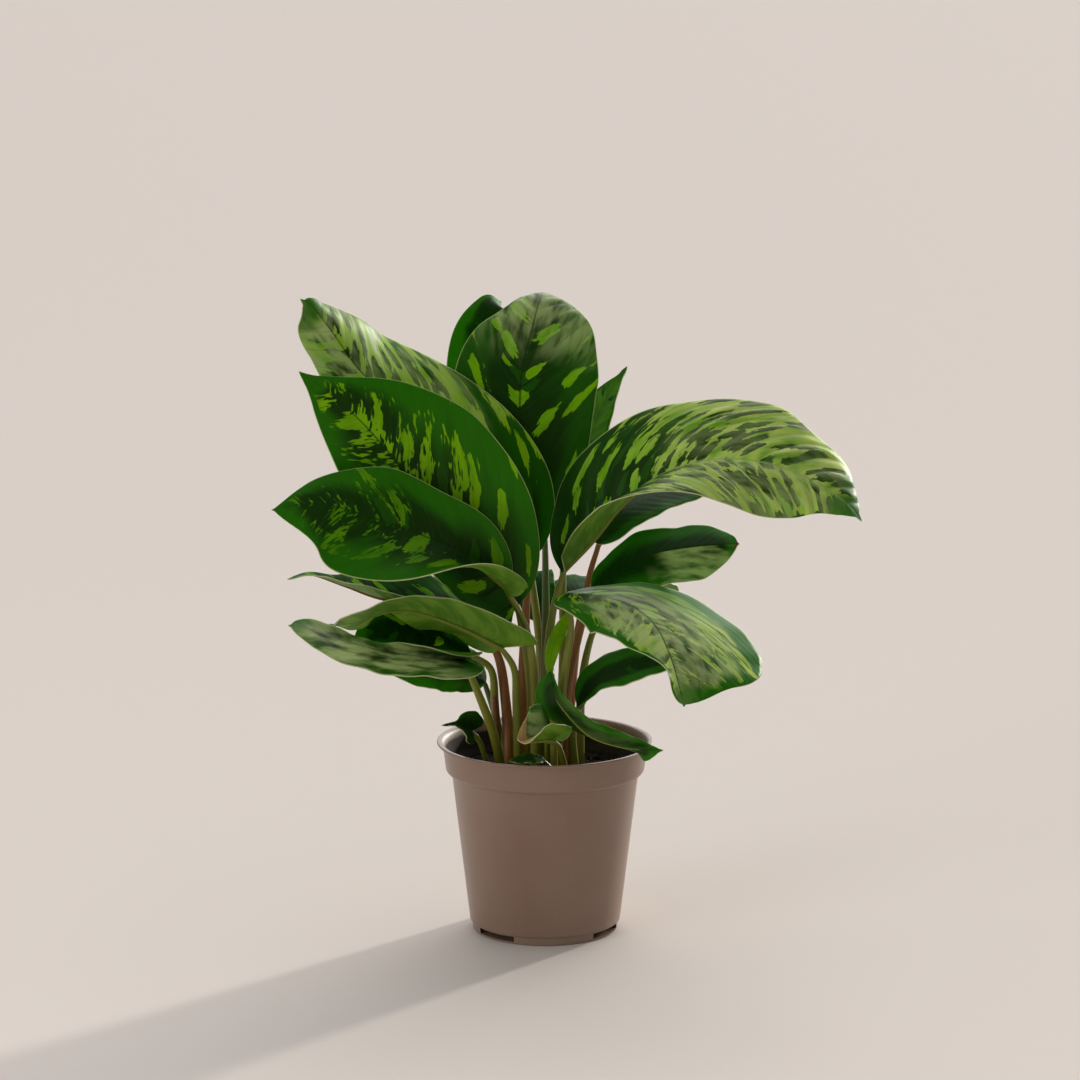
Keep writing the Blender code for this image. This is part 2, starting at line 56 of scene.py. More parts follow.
class nodeNet:
    # the nodes of one tree: each short call makes one and gives back its output
    def __init__(self, tree):
        self.tree = tree

    def new(self, kind):
        return self.tree.nodes.new("ShaderNode" + kind)

    def link(self, output, socket):
        self.tree.links.new(output, socket)

    def feed(self, sockets, values):
        for label, value in values.items():
            if isinstance(value, bpy.types.NodeSocket):
                self.link(value, sockets[label])
            else:
                sockets[label].default_value = value

    def calc(self, operation, first, second=0.0, third=0.0, clamp=False):
        node = self.new("Math")
        node.operation = operation
        node.use_clamp = clamp
        self.feed(node.inputs, {0: first, 1: second, 2: third})
        return node.outputs[0]

    def plus(self, first, second):
        return self.calc("ADD", first, second)

    def minus(self, first, second):
        return self.calc("SUBTRACT", first, second)

    def times(self, first, second, clamp=False):
        return self.calc("MULTIPLY", first, second, clamp=clamp)

    def over(self, first, second):
        return self.calc("DIVIDE", first, second)

    def timesPlus(self, value, gain, base, clamp=False):
        return self.calc("MULTIPLY_ADD", value, gain, base, clamp=clamp)

    def inverse(self, value):
        return self.minus(1.0, value)

    def centred(self, value):
        return self.minus(value, 0.5)

    def rise(self, value, low, high):
        # 0 below low, 1 above high, smooth between
        node = self.new("MapRange")
        node.interpolation_type = "SMOOTHSTEP"
        self.feed(node.inputs, {"Value": value, "From Min": low, "From Max": high})
        return node.outputs["Result"]

    def mix(self, share, first, second):
        # a colour between the two; the node has sockets for other kinds of value before these
        node = self.new("Mix")
        node.data_type = "RGBA"
        self.feed(node.inputs, {0: share, 6: first, 7: second})
        return node.outputs[2]

    def join(self, x, y, z):
        node = self.new("CombineXYZ")
        self.feed(node.inputs, {0: x, 1: y, 2: z})
        return node.outputs[0]

    def split(self, vector):
        node = self.new("SeparateXYZ")
        self.feed(node.inputs, {0: vector})
        return node.outputs[0], node.outputs[1], node.outputs[2]

    def noise(self, vector, scale=1.0, detail=2.0, roughness=0.5):
        node = self.new("TexNoise")
        self.feed(node.inputs, {"Vector": vector, "Scale": scale, "Detail": detail, "Roughness": roughness})
        return node.outputs["Fac"]

    def spots(self, p, t, size, layer):
        # a place on a leaf counted in spots, whose size is in mm along the rib and along the side veins
        return self.join(self.over(p, size[0]), self.over(t, size[1]), layer)

    def grain(self, p, t, size, layer, detail=2.0):
        return self.noise(self.spots(p, t, size, layer), detail=detail)

    def scaled(self, place, gains, detail, roughness=0.5):
        # noise drawn out by its own gain along each axis
        stretched = [self.times(part, gain) for part, gain in zip(place, gains)]
        return self.noise(self.join(*stretched), 1.0, detail, roughness)

    def uv(self, label):
        node = self.new("UVMap")
        node.uv_map = label
        return node.outputs[0]

    def veinPlace(self, vector):
        # mm along the rib and along the side veins; the UV map holds a hundredth of them
        p, t, unused = self.split(vector)
        return self.times(p, uvScale), self.times(t, uvScale)

    def objectPlace(self):
        return self.new("TexCoord").outputs["Object"]

    def fromVein(self, p, gap):
        # 0 on a side vein, 0.5 midway between two
        return self.minus(0.5, self.calc("ABSOLUTE", self.centred(self.calc("FRACT", self.over(p, gap)))))

    def bump(self, shader, height, distance, strength):
        node = self.new("Bump")
        self.feed(node.inputs, {"Distance": distance, "Strength": strength, "Height": height})
        self.link(node.outputs["Normal"], shader.inputs["Normal"])


def newGroup(name, inputs, outputs):
    tree = bpy.data.node_groups.new(name, "ShaderNodeTree")
    for way, sockets in (("INPUT", inputs), ("OUTPUT", outputs)):
        for label, kind in sockets:
            tree.interface.new_socket(name=label, in_out=way, socket_type=kind)
    start = tree.nodes.new("NodeGroupInput")
    end = tree.nodes.new("NodeGroupOutput")
    return nodeNet(tree), start.outputs, end.inputs


def newObject(name, data):
    made = bpy.data.objects.new(name, data)
    bpy.context.scene.collection.objects.link(made)
    return made


def meshOf(name, shape):
    mesh = bpy.data.meshes.new(name)
    shape.to_mesh(mesh)
    shape.free()
    return mesh


def applied(piece):
    # the mesh with the modifiers in it; they come off the piece
    graph = bpy.context.evaluated_depsgraph_get()
    mesh = bpy.data.meshes.new_from_object(piece.evaluated_get(graph), depsgraph=graph)
    piece.modifiers.clear()
    return mesh


def newMaterial(name, roughness, specular):
    made = bpy.data.materials.new(name)
    made.use_nodes = True
    net = nodeNet(made.node_tree)
    shader = net.tree.nodes["Principled BSDF"]
    net.feed(shader.inputs, {"Roughness": roughness, "Specular IOR Level": specular})
    return made, net, shader


# The blotched leaf pattern, shared by all the upper sides

leafTones = {
    "dark": tone(14, 50, 2),
    "middle": tone(36, 108, 1),
    "bright": tone(132, 186, 2),
    "pale": tone(188, 206, 96),
    "margin": tone(176, 190, 116),
    "ribPale": tone(146, 172, 104),
    # the last tone is painted sheen, the grey glint of the soft light on the leaf
    "paintedSheen": tone(176, 194, 122),
}
islandSizes = {"light": (8.5, 12.0), "dark": (6.5, 11.0), "second": (8.0, 15.0)}  # mm along rib and veins
stripWidth = 1.1  # mm, between the veinlets that tear an island's ends
lookInputs = {  # sockets of the pattern that a leaf's own values fill
    "Seed": "seed", "Islands": "islands", "Tip Islands": "tipIslands", "Island Reach": "reach",
    "Brightness": "bright", "Paleness": "pale", "Middle Zone": "zone", "Rib Paleness": "ribPale",
    "Dry Tip": "dryTip", "Half Bias": "halfBias", "Patch Size": "patchSize", "Painted Sheen Start": "paintedSheenStart",
    "Painted Sheen Reach": "paintedSheenReach",
}


def islandsOf(net, p, t, size, amount, ragged):
    # torn patches in a share of the cells, larger where more cells have one
    cells = net.new("TexVoronoi")
    cells.voronoi_dimensions = "2D"
    net.feed(cells.inputs, {"Vector": net.spots(p, t, size, 0.0), "Scale": 1.0, "Randomness": 0.8})
    excess = net.minus(amount, net.split(cells.outputs["Color"])[0])
    radius = net.timesPlus(net.rise(excess, 0.0, 0.05), 0.42, -0.12)
    radius = net.timesPlus(net.calc("MINIMUM", excess, 0.4), 0.45, radius)
    return net.rise(net.minus(net.plus(radius, ragged), cells.outputs["Distance"]), -0.015, 0.025)


def makeLeafPattern():
    single, vector, colours = "NodeSocketFloat", "NodeSocketVector", "NodeSocketColor"
    net, given, wanted = newGroup("blotchedLeaf", [
        ("Vein Place", vector), ("Leaf Share", vector), ("Dry Tone", colours), ("Vein Gap", single),
        ("Left Painted Sheen", single), ("Right Painted Sheen", single), *((label, single) for label in lookInputs),
    ], [("Color", colours), ("Roughness", single), ("Height", single)])
    p, t = net.veinPlace(given["Vein Place"])
    along, across, unused = net.split(given["Leaf Share"])
    a = net.calc("ABSOLUTE", net.timesPlus(across, 2.0, -1.0))
    seed = given["Seed"]
    place = net.timesPlus(seed, 100.0, p)  # so that no two leaves have the same pattern

    # each strip between two veinlets starts and ends its patches at its own place
    strip = net.calc("FLOOR", net.over(place, stripWidth))
    white = net.new("TexWhiteNoise")
    white.noise_dimensions = "1D"
    net.link(strip, white.inputs["W"])
    tornT = net.timesPlus(net.centred(white.outputs["Value"]), 2.6, t)
    tornP = net.timesPlus(strip, stripWidth * 0.5, net.times(place, 0.5))
    bend = net.centred(net.grain(place, t, (14.0, 17.0), seed, 1.0))
    tornP = net.timesPlus(bend, 7.0, tornP)
    tornT = net.timesPlus(bend, -12.0, tornT)
    ragged = net.times(net.centred(net.grain(place, t, (2.6, 4.5), seed, 1.0)), 0.34)
    tornP, tornT = (net.over(torn, given["Patch Size"]) for torn in (tornP, tornT))
    nearTip = net.rise(net.timesPlus(bend, 0.25, along), 0.3, 0.5)
    amount = net.timesPlus(given["Tip Islands"], nearTip, given["Islands"])
    # one half may carry more light patches than the other: partly real patches, partly painted sheen
    onLeft = net.calc("GREATER_THAN", across, 0.5)
    amount = net.timesPlus(net.timesPlus(onLeft, 2.0, -1.0), given["Half Bias"], amount)
    reach = net.timesPlus(bend, 0.5, given["Island Reach"])
    amount = net.times(amount, net.timesPlus(net.rise(a, reach, net.plus(reach, 0.16)), -0.8, 1.0))
    light = islandsOf(net, tornP, tornT, islandSizes["light"], amount, ragged)
    # where light tissue is most of the blade, it is the ground, and dark patches lie in it
    dark = islandsOf(net, net.plus(tornP, 57.0), net.plus(tornT, 31.0), islandSizes["dark"],
                     net.minus(1.45, amount), ragged)
    mostly = net.rise(net.plus(amount, ragged), 0.52, 0.56)
    light = net.timesPlus(mostly, net.minus(net.inverse(dark), light), light)
    second = islandsOf(net, net.plus(tornP, 113.0), net.plus(tornT, 71.0), islandSizes["second"],
                       net.timesPlus(amount, 0.3, 0.2), ragged)

    # dark ground, a middle green zone at the margin, and faint middle green patches
    uneven = net.centred(net.grain(place, t, (18.0, 36.0), 9.0, 1.0))
    zone = net.times(net.rise(net.timesPlus(uneven, 0.7, a), 0.3, 0.8), given["Middle Zone"])
    zone = net.calc("MAXIMUM", zone, net.times(second, 0.4), clamp=True)
    ground = net.mix(zone, leafTones["dark"], leafTones["middle"])
    streak = net.grain(place, t, (0.8, 10.0), seed, 1.5)
    shade = net.grain(place, t, (9.0, 15.0), 40.0)
    brightness = net.timesPlus(net.centred(shade), 1.0, given["Brightness"])
    brightness = net.timesPlus(net.centred(streak), 0.7, brightness, clamp=True)
    patch = net.mix(brightness, leafTones["middle"], leafTones["bright"])
    paleShare = net.times(net.timesPlus(nearTip, 0.8, 0.2), given["Paleness"])
    paleShare = net.times(paleShare, net.rise(shade, 0.3, 0.65), clamp=True)
    patch = net.mix(paleShare, patch, leafTones["pale"])
    # the last stretch before the tip is plain green
    plain = net.rise(net.timesPlus(bend, 0.15, along), 0.88, 0.95)
    light = net.times(light, net.inverse(plain))
    ground = net.mix(plain, ground, leafTones["middle"])
    colour = net.mix(light, ground, patch)
    colour = net.mix(net.times(net.rise(streak, 0.45, 0.8), 0.22), colour, leafTones["middle"])

    # painted sheen: a greyish highlight of the soft light in soft streaks, on the halves that have it
    paintedSheen = net.timesPlus(net.minus(given["Left Painted Sheen"], given["Right Painted Sheen"]), onLeft, given["Right Painted Sheen"])
    paintedSheen = net.times(paintedSheen, net.rise(net.grain(place, t, (16.0, 7.0), 21.0), 0.3, 0.62))
    paintedSheenEnd = net.plus(given["Painted Sheen Start"], 0.2)
    paintedSheen = net.times(paintedSheen, net.rise(net.timesPlus(bend, 0.2, along), given["Painted Sheen Start"], paintedSheenEnd))
    paintedSheenEdge = net.rise(net.timesPlus(bend, 0.5, a), given["Painted Sheen Reach"], net.plus(given["Painted Sheen Reach"], 0.2))
    paintedSheen = net.times(paintedSheen, net.inverse(paintedSheenEdge), clamp=True)
    colour = net.mix(net.times(paintedSheen, net.timesPlus(plain, -0.7, 1.0)), colour, leafTones["paintedSheen"])

    # veins, the rib, the margin's pale line and a dead tip
    fromVein = net.fromVein(p, given["Vein Gap"])
    veinLine = net.inverse(net.rise(fromVein, 0.0, 0.04))
    colour = net.mix(net.times(veinLine, 0.25), colour, leafTones["dark"])
    ribTone = net.mix(given["Rib Paleness"], leafTones["dark"], leafTones["ribPale"])
    ribLine = net.inverse(net.rise(a, 0.006, 0.024))
    colour = net.mix(net.times(ribLine, 0.7), colour, ribTone)
    colour = net.mix(net.times(net.rise(a, 0.984, 0.994), 0.8), colour, leafTones["margin"])
    dryShare = net.inverse(given["Dry Tip"])
    dry = net.rise(net.timesPlus(net.centred(shade), 0.08, along), dryShare, net.plus(dryShare, 0.012))
    net.link(net.mix(dry, colour, given["Dry Tone"]), wanted["Color"])
    net.link(net.timesPlus(dry, 0.3, net.timesPlus(shade, 0.16, 0.35)), wanted["Roughness"])
    bulge = net.times(net.calc("SINE", net.times(fromVein, math.pi)), 0.45)
    height = net.timesPlus(streak, 0.25, bulge)
    height = net.timesPlus(net.noise(net.join(p, t, seed), 2.2), 0.1, height)
    net.link(net.timesPlus(ribLine, -0.8, height), wanted["Height"])
    return net.tree


leafPattern = makeLeafPattern()
lightThrough = {"Subsurface Weight": 0.25, "Subsurface Radius": (0.35, 1.0, 0.12), "Subsurface Scale": 0.0016}


def makeUpperSide(name, look, veinGap):
    made, net, shader = newMaterial(name + "Upper", 0.4, look["shine"])
    net.feed(shader.inputs, {"Specular Tint": (0.95, 1.0, 0.6, 1.0), **lightThrough})
    node = net.new("Group")
    node.node_tree = leafPattern
    net.feed(node.inputs, {"Vein Place": net.uv("veinPlace"), "Leaf Share": net.uv("leafShare"),
                           "Dry Tone": tone(*look["dryTone"]), "Vein Gap": veinGap,
                           "Left Painted Sheen": look["paintedSheen"][0], "Right Painted Sheen": look["paintedSheen"][1]})
    net.feed(node.inputs, {label: look[key] for label, key in lookInputs.items()})
    net.link(node.outputs["Color"], shader.inputs["Base Color"])
    net.link(node.outputs["Roughness"], shader.inputs["Roughness"])
    net.bump(shader, node.outputs["Height"], 0.00025, 0.5)
    return made


def makeUnderSide(name, veinGap, light, dull):
    # paler and matt, with its side veins standing out
    made, net, shader = newMaterial(name, 0.6, 0.35)
    p, t = net.veinPlace(net.uv("veinPlace"))
    streak = net.grain(p, t, (0.9, 9.0), 3.0)
    broad = net.grain(p, t, (9.0, 20.0), 8.0)
    veinLine = net.inverse(net.rise(net.fromVein(p, veinGap), 0.0, 0.08))
    colour = net.mix(net.rise(broad, 0.35, 0.65), dull, light)
    colour = net.mix(net.times(veinLine, 0.4), colour, light)
    colour = net.mix(net.times(streak, 0.2), colour, dull)
    net.link(colour, shader.inputs["Base Color"])
    net.bump(shader, net.timesPlus(streak, 0.2, veinLine), 0.0004, 0.6)
    return made


def makeStalkFinish(name, upper, lower, fleck):
    # the tone changes from the blade down to the soil, with fine lines along the stalk
    made, net, shader = newMaterial(name, 0.42, 0.45)
    x, y, unused = net.split(net.uv("leafShare"))
    lines = net.noise(net.join(net.times(x, 9.0), net.times(y, 2.5), 1.0), detail=3.0)
    flecks = net.noise(net.join(net.times(x, 30.0), net.times(y, 16.0), 4.0))
    colour = net.mix(net.timesPlus(net.centred(lines), 0.5, y, clamp=True), lower, upper)
    colour = net.mix(net.times(net.rise(flecks, 0.58, 0.68), 0.45), colour, fleck)
    net.link(colour, shader.inputs["Base Color"])
    net.bump(shader, lines, 0.0003, 0.5)
    return made


stalkTones = {
    "green": (tone(112, 132, 30), tone(122, 120, 36), tone(104, 84, 32)),
    "deep": (tone(62, 92, 34), tone(84, 98, 42), tone(78, 62, 34)),
    "brown": (tone(132, 82, 40), tone(150, 96, 46), tone(88, 52, 28)),
}
stalkFinishes = {kind: makeStalkFinish(kind + "Stalk", *tones) for kind, tones in stalkTones.items()}


def makeMarginFinish():
    made, net, shader = newMaterial("paleMargin", 0.5, 0.4)
    grain = net.noise(net.objectPlace(), 900.0)
    net.link(net.mix(grain, tone(168, 176, 118), tone(206, 206, 162)), shader.inputs["Base Color"])
    return made


marginFinish = makeMarginFinish()


# Leaves
# Foot, stem and rib are points in mm, and face is the way that the upper side looks, from base to tip.
# Left and right hold a half's width, then its lift at the rib and its curl in degrees, from base to tip.
# The trims widen or narrow a half from base to tip. The painted sheen is the share of painted highlight on
# the left and on the right half.

leafDefaults = dict(
    thick=2.4, stalk="green", leftTrim=(1, 1), rightTrim=(1, 1), widest=0.42, basePower=0.55, tipPower=0.85,
    lobes=(0, 0), drip=0.07, dripWidth=0.1, quilt=0.25, quiltStart=0.1, wave=0.6, waves=3.0,
    islands=-0.2, tipIslands=0.1, reach=0.8, patchSize=1.0, halfBias=0.0, bright=0.7, pale=0.0, zone=0.4,
    ribPale=0.0, paintedSheen=(0, 0), paintedSheenStart=0.08, paintedSheenReach=1.3, shine=0.15, dryTip=0.0, dryTone=(104, 62, 34))


def flat(width):
    # a half without lift or curl
    return width, (0, 0), (0, 0)


leaves = dict(
    upperLeftLeaf=dict(
        node="leaf_upper_left", foot=(-9, 9), stem=[(-12.5, 12, 126), (-11, 15, 172)], thick=2.9,
        stalk="brown",
        rib=[(-8, 14, 206), (-25, 8, 238), (-49, 4, 266), (-75, 0, 291), (-100, -6, 314),
             (-114, -12, 335), (-125, -18, 351), (-132, -22, 357)],
        face=[(0.3, -0.9, 0.2), (0.4, -0.8, 0.4), (0.0, -0.9, 0.5)], left=(43, (15, 5, 0), (15, 0, -10)),
        right=(44, (10, -5, -25), (10, -20, -45)), leftTrim=(1, 1, 1, 0.8, 0.56, 0.9),
        rightTrim=(1, 1.05, 1.07, 1, 0.85, 0.3), widest=0.54, tipPower=0.55, wave=0.5, seed=3.1,
        islands=0.44, tipIslands=0.2, reach=0.95, patchSize=1.4, bright=1.0, pale=0.5, zone=0.6,
        paintedSheen=(1.0, 0.4), paintedSheenStart=0.3, shine=0.05),
    highLeftLeaf=dict(
        node="leaf_left_high", foot=(-9, -4), stem=[(-8, -7, 131), (-11, -12, 161)],
        rib=[(-15, -18, 187), (-37, -30, 215), (-58, -38, 244), (-77, -44, 268), (-97, -50, 293),
             (-116, -56, 312), (-131, -62, 324)],
        face=[(0.1, -0.95, 0.2), (0.1, -0.95, 0.2), (0.0, -0.9, 0.3)],
        left=(42, (5, 10, 2, 0), (40, 40, 10, 10)), right=(44, (10, 0, 0), (10, 0, -25)),
        leftTrim=(0.95, 0.75, 0.75, 0.76, 0.8, 0.9), rightTrim=(1.1, 1.12, 1.12, 1.08, 0.85, 0.3),
        widest=0.5, tipPower=1.0, lobes=(14, 0), quilt=0.15, wave=0.5, seed=7.7, islands=0.42, reach=0.65,
        patchSize=1.55, bright=0.8, zone=1.0),
    middleLeftLeaf=dict(
        node="leaf_left_middle", foot=(-6, -14), stem=[(-6, -16, 138), (-10, -25, 174)],
        rib=[(-21, -38, 201), (-43, -52, 222), (-68, -62, 236), (-93, -72, 247), (-120, -80, 256),
             (-145, -88, 254)],
        face=[(0, -0.9, 0.3), (0, -0.9, 0.4), (-0.1, -0.9, 0.4)],
        left=(36, (86, 53, 14, 2, 0, 0), (115, 93, 74, 17, 0, 0)), right=(31, (10, 5, -10), (0, 0, -30)),
        leftTrim=(1, 1, 1.03, 0.98, 1.05, 0.85), rightTrim=(1, 1, 0.87, 0.93, 0.7, 0.3), widest=0.58,
        basePower=0.75, tipPower=0.8, lobes=(16, 4), drip=0.05, dripWidth=0.06, quilt=0.2, wave=0.3,
        seed=12.4, islands=0.42, reach=0.7, patchSize=1.4, bright=0.3, zone=0.9),
    thinLeftLeaf=dict(
        node="leaf_left_thin", foot=(-20, -5), stem=[(-22, 2, 127), (-27, 3, 156)], thick=2.8,
        stalk="brown",
        rib=[(-41, -4, 175), (-63, -12, 186), (-90, -20, 192), (-109, -26, 200), (-128, -30, 207),
             (-140, -34, 205)],
        face=[(0.1, -0.1, 1), (0.1, -0.15, 1), (0.1, -0.1, 1)], left=(24, (30, 22, 20), (0, 10, 0)),
        right=(28, (20, 20, 10), (0, 0, 0)), leftTrim=(1.4, 1.2, 1, 1, 1, 1),
        rightTrim=(1, 1, 1, 0.7, 0.4, 0.4), tipPower=1.3, lobes=(14, 8), quilt=0.05, seed=15.2, islands=0.3,
        bright=0.4, shine=0.02),
    foldedLeftLeaf=dict(
        node="leaf_left_folded", foot=(-15, -14), stem=[(-16, -17, 132), (-17, -22, 152)],
        rib=[(-23, -28, 166), (-45, -40, 180), (-68, -48, 190), (-83, -54, 192), (-101, -62, 188),
             (-118, -68, 186)],
        face=[(0.1, 0.4, 0.9), (0.1, 0.3, 0.9), (0.0, -0.3, 0.9)], left=(25, (15, 15, 50), (0, 0, 0)),
        right=(24, (-10, 0, -25, -40, -40), (0, 0, 0)), leftTrim=(1.4, 1.25, 1.1, 1, 1, 1),
        rightTrim=(1.3, 1.2, 1, 0.9, 0.8, 0.6, 0.35, 0.2, 0.6, 0.6, 0.6), widest=0.5, tipPower=0.5,
        lobes=(18, 8), seed=18.9, islands=0.1, shine=0.05),
    innerLeftLeaf=dict(
        node="leaf_left_inner", foot=(-26, 3), stem=[(-28, 0, 127), (-30, -4, 148)],
        rib=[(-41, -10, 159), (-58, -22, 169), (-74, -32, 175), (-90, -40, 177), (-104, -46, 175)],
        face=[(0, -0.6, 0.8), (0, -0.6, 0.8)], left=flat(22), right=flat(26), quilt=0.0, seed=22.3,
        islands=0.15, zone=1.0, shine=0.0),
    lowLeftLeaf=dict(
        node="leaf_left_low", foot=(-24, -14), stem=[(-29, -24, 118), (-38, -38, 146)],
        rib=[(-43, -52, 164), (-63, -68, 169), (-83, -80, 175), (-103, -90, 182), (-121, -96, 190),
             (-136, -100, 194)],
        face=[(0, -0.35, 0.95), (0, -0.35, 0.95), (-0.1, -0.5, 0.9)], left=(27, (5, 5, 5), (0, -5, 0)),
        right=(13, (60, 40, 0, -10), (170, 150, 40, 0)), leftTrim=(1, 1.05, 1, 1.05, 1.05, 1),
        rightTrim=(1, 1, 0.6, 0.4, 1, 1.6), widest=0.5, tipPower=0.6, lobes=(10, 18), quilt=0.1, wave=0.8,
        seed=25.8, zone=0.7, paintedSheen=(1.0, 0.7)),
    shadedLeftLeaf=dict(
        node="leaf_left_shaded", foot=(-24, 16), stem=[(-27, 21, 113)], stalk="deep",
        rib=[(-33, 22, 135), (-47, 20, 144), (-64, 18, 146), (-88, 14, 142)],
        face=[(0, -0.5, 0.85), (0, -0.5, 0.85)], left=(18, (-10, -10, -10), (0, -10, 0)), right=flat(18),
        seed=28.1, zone=1.0),
    potEdgeLeaf=dict(
        node="leaf_pot_edge", foot=(-32, -6.5), stem=[(-36, -10, 108)], thick=1.6,
        rib=[(-40, -12, 115), (-44, -16, 119), (-48, -20, 121), (-57, -24, 121)],
        face=[(0.5, -0.6, 0.6), (0.2, -0.8, 0.6), (0, -0.6, 0.8)], left=flat(7),
        right=(8, (20, 20, 0), (10, 10, 0)), leftTrim=(1.3, 1.3, 1, 0.3, 0.25, 0.4),
        rightTrim=(1.3, 1.3, 1, 0.3, 0.25, 0.4), widest=0.3, lobes=(4, 8), quilt=0.2, seed=31.4),
    topBackLeaf=dict(
        node="leaf_top_back", foot=(-3, 29), stem=[(-3, 42, 148), (-9, 52, 197)],
        rib=[(-12, 58, 232), (-25, 64, 265), (-32, 70, 295), (-35, 80, 321), (-31, 96, 337.5),
             (-25, 112, 336)],
        face=[(0.1, -1, 0.1), (0, -1, 0.1), (0, -0.8, 0.5)], left=(25, (0, 0, 0), (0, -20, -20)),
        right=(26, (0, 0, 0), (0, -20, -20)), leftTrim=(1, 1, 1, 0.93, 0.8, 0.4), widest=0.45, quilt=0.15,
        seed=34.6, zone=1.6, shine=0.03),
    topCentreLeaf=dict(
        node="leaf_top_centre", foot=(-2, 15), stem=[(0, 24, 154), (0, 32, 203)], stalk="deep",
        rib=[(-1, 34, 228), (-8, 36, 252), (-13, 38, 274), (-14, 40, 291), (-12, 46, 311),
             (-7, 56, 330), (-3, 72, 343), (0, 90, 344), (3, 104, 338)],
        face=[(0.0, -1, 0.1), (0, -1, 0.2), (0, -0.4, 1)], left=(39, (10, 0, 0, 0, -20), (0, 0, -25)),
        right=(42, (10, 0, 0, 0, -20), (0, 0, -10)), leftTrim=(1, 1, 0.98, 0.86, 0.5, 0.3),
        rightTrim=(1, 1, 1, 1.03, 0.9, 0.3), widest=0.45, tipPower=1.2, quilt=0.9, quiltStart=0.4, wave=1.2,
        seed=37.5, islands=0.36, patchSize=1.3, bright=0.8, zone=0.5, paintedSheen=(0.6, 0.6), paintedSheenStart=0.5),
    topRightLeaf=dict(
        node="leaf_top_right", foot=(8, 22), stem=[(10, 36, 150), (10, 46, 193)],
        rib=[(13, 50, 221), (19, 54, 249), (27, 56, 271), (34, 58, 288), (46, 60, 307)],
        face=[(-0.85, -0.5, 0), (-0.85, -0.5, 0)], left=flat(19), right=flat(17),
        leftTrim=(1, 1, 1, 1.2, 1.25, 1), rightTrim=(0.6, 0.6, 0.7, 0.85, 1, 1), widest=0.45, tipPower=1.4,
        seed=41.0, islands=0.9, bright=0.3, zone=1.4),
    bigRightLeaf=dict(
        node="leaf_big_right", foot=(-1, -3), stem=[(1, -2, 150), (4, -4, 180)], thick=2.8,
        rib=[(9, -8, 204), (26, -14, 223), (43, -20, 245), (65, -26, 262), (91, -30, 270),
             (119, -34, 269), (146, -36, 259), (162, -38, 248), (171, -38, 238)],
        face=[(-0.5, -0.8, 0.35), (0.1, -0.7, 0.7), (0.6, -0.6, 0.5)],
        left=(48, (0, 0, -5), (10, -15, -15)), right=(39, (90, 75, 38, 0, -5), (20, 0, -10, -20, -10)),
        leftTrim=(1, 1, 1, 0.97, 0.95, 0.94, 1.01, 1.07, 0.99, 1.04, 0.8),
        rightTrim=(0.5, 1, 1, 0.98, 0.9, 0.5), widest=0.52, tipPower=0.6, lobes=(4, 0), drip=0.1,
        dripWidth=0.12, quilt=1.7, quiltStart=0.35, seed=44.2, islands=0.42, tipIslands=0.22, reach=0.95,
        patchSize=1.1, pale=1.1, zone=0.15, ribPale=1.0, paintedSheen=(0.3, 0.5), paintedSheenStart=0.35),
    behindRightLeaf=dict(
        node="leaf_right_behind", foot=(12, 12), stem=[(17, 26, 153), (24, 34, 190)], stalk="brown",
        rib=[(29, 34, 211), (44, 44, 227), (65, 54, 235), (88, 62, 239), (110, 68, 242)],
        face=[(0, -0.2, 1), (0, -0.2, 1)], left=flat(22), right=(17, (-5, -5, 0), (0, 0)), quilt=0.1,
        seed=47.3, zone=0.5, shine=0.05),
    middleRightLeaf=dict(
        node="leaf_right_middle", foot=(9, 2), stem=[(13, 8, 140), (21, 14, 172)], thick=2.8, stalk="brown",
        rib=[(26, 18, 188), (37, 17, 197), (56, 14, 208), (80, 9, 214), (107, 4, 217)],
        face=[(0, -0.6, 0.8), (0, -0.6, 0.8)], left=(26, (10, -8, -10), (0, -8, -10)),
        right=(24, (0, -5, -10), (0, -5, -10)), leftTrim=(0.6, 0.7, 0.87, 0.85, 0.9, 0.8),
        rightTrim=(0.9, 0.9, 0.9, 0.92, 1, 0.8), widest=0.55, tipPower=0.55, quilt=0.08, seed=50.8,
        zone=0.8, paintedSheen=(0, 0.8), paintedSheenStart=0.4, shine=0.03, dryTip=0.03),
    frontRightLeaf=dict(
        node="leaf_right_front", foot=(6, -12), stem=[(10, -16, 145), (14, -20, 175)],
        rib=[(11, -32, 197), (32, -42, 197), (50, -54, 192), (60, -70, 185), (66, -90, 175),
             (70, -106, 164), (73, -114, 153)],
        face=[(0.0, -0.1, 1), (0.3, -0.35, 0.9), (0.5, -0.5, 0.7)],
        left=(55, (-10, -2, 8, 12), (0, -12, -8)), right=(30, (-5, -10, -10), (-5, -10, -10)),
        leftTrim=(1, 1, 1, 1.02, 1, 0.7), rightTrim=(1, 1.1, 1.15, 0.75, 0.2, 0.3), widest=0.65,
        tipPower=0.45, lobes=(6, 10), drip=0.1, quilt=0.0, wave=0.8, seed=53.6, islands=0.45,
        tipIslands=0.15, patchSize=1.2, halfBias=-0.08, pale=1.0, zone=1.6, paintedSheen=(0.6, 0.85), paintedSheenReach=0.6,
        shine=0.1),
    lowRightLeaf=dict(
        node="leaf_right_low", foot=(16, -5), stem=[(15, -4, 112)],
        rib=[(18, -4, 127), (30, -8, 143), (47, -12, 151), (66, -16, 156), (82, -20, 155)],
        face=[(0, -0.5, 0.85), (0, -0.5, 0.85)], left=(18, (0, 0), (0, -10, 0)),
        right=(14, (0, 0), (0, 10, 0)), rightTrim=(0.3, 0.5, 0.9, 1, 1, 1), widest=0.45, quilt=0.12,
        seed=56.9, zone=2.0, shine=0.08),
    sliverLeaf=dict(
        node="leaf_right_sliver", foot=(19, 7), stem=[(20, 12, 133), (25, 17, 160)],
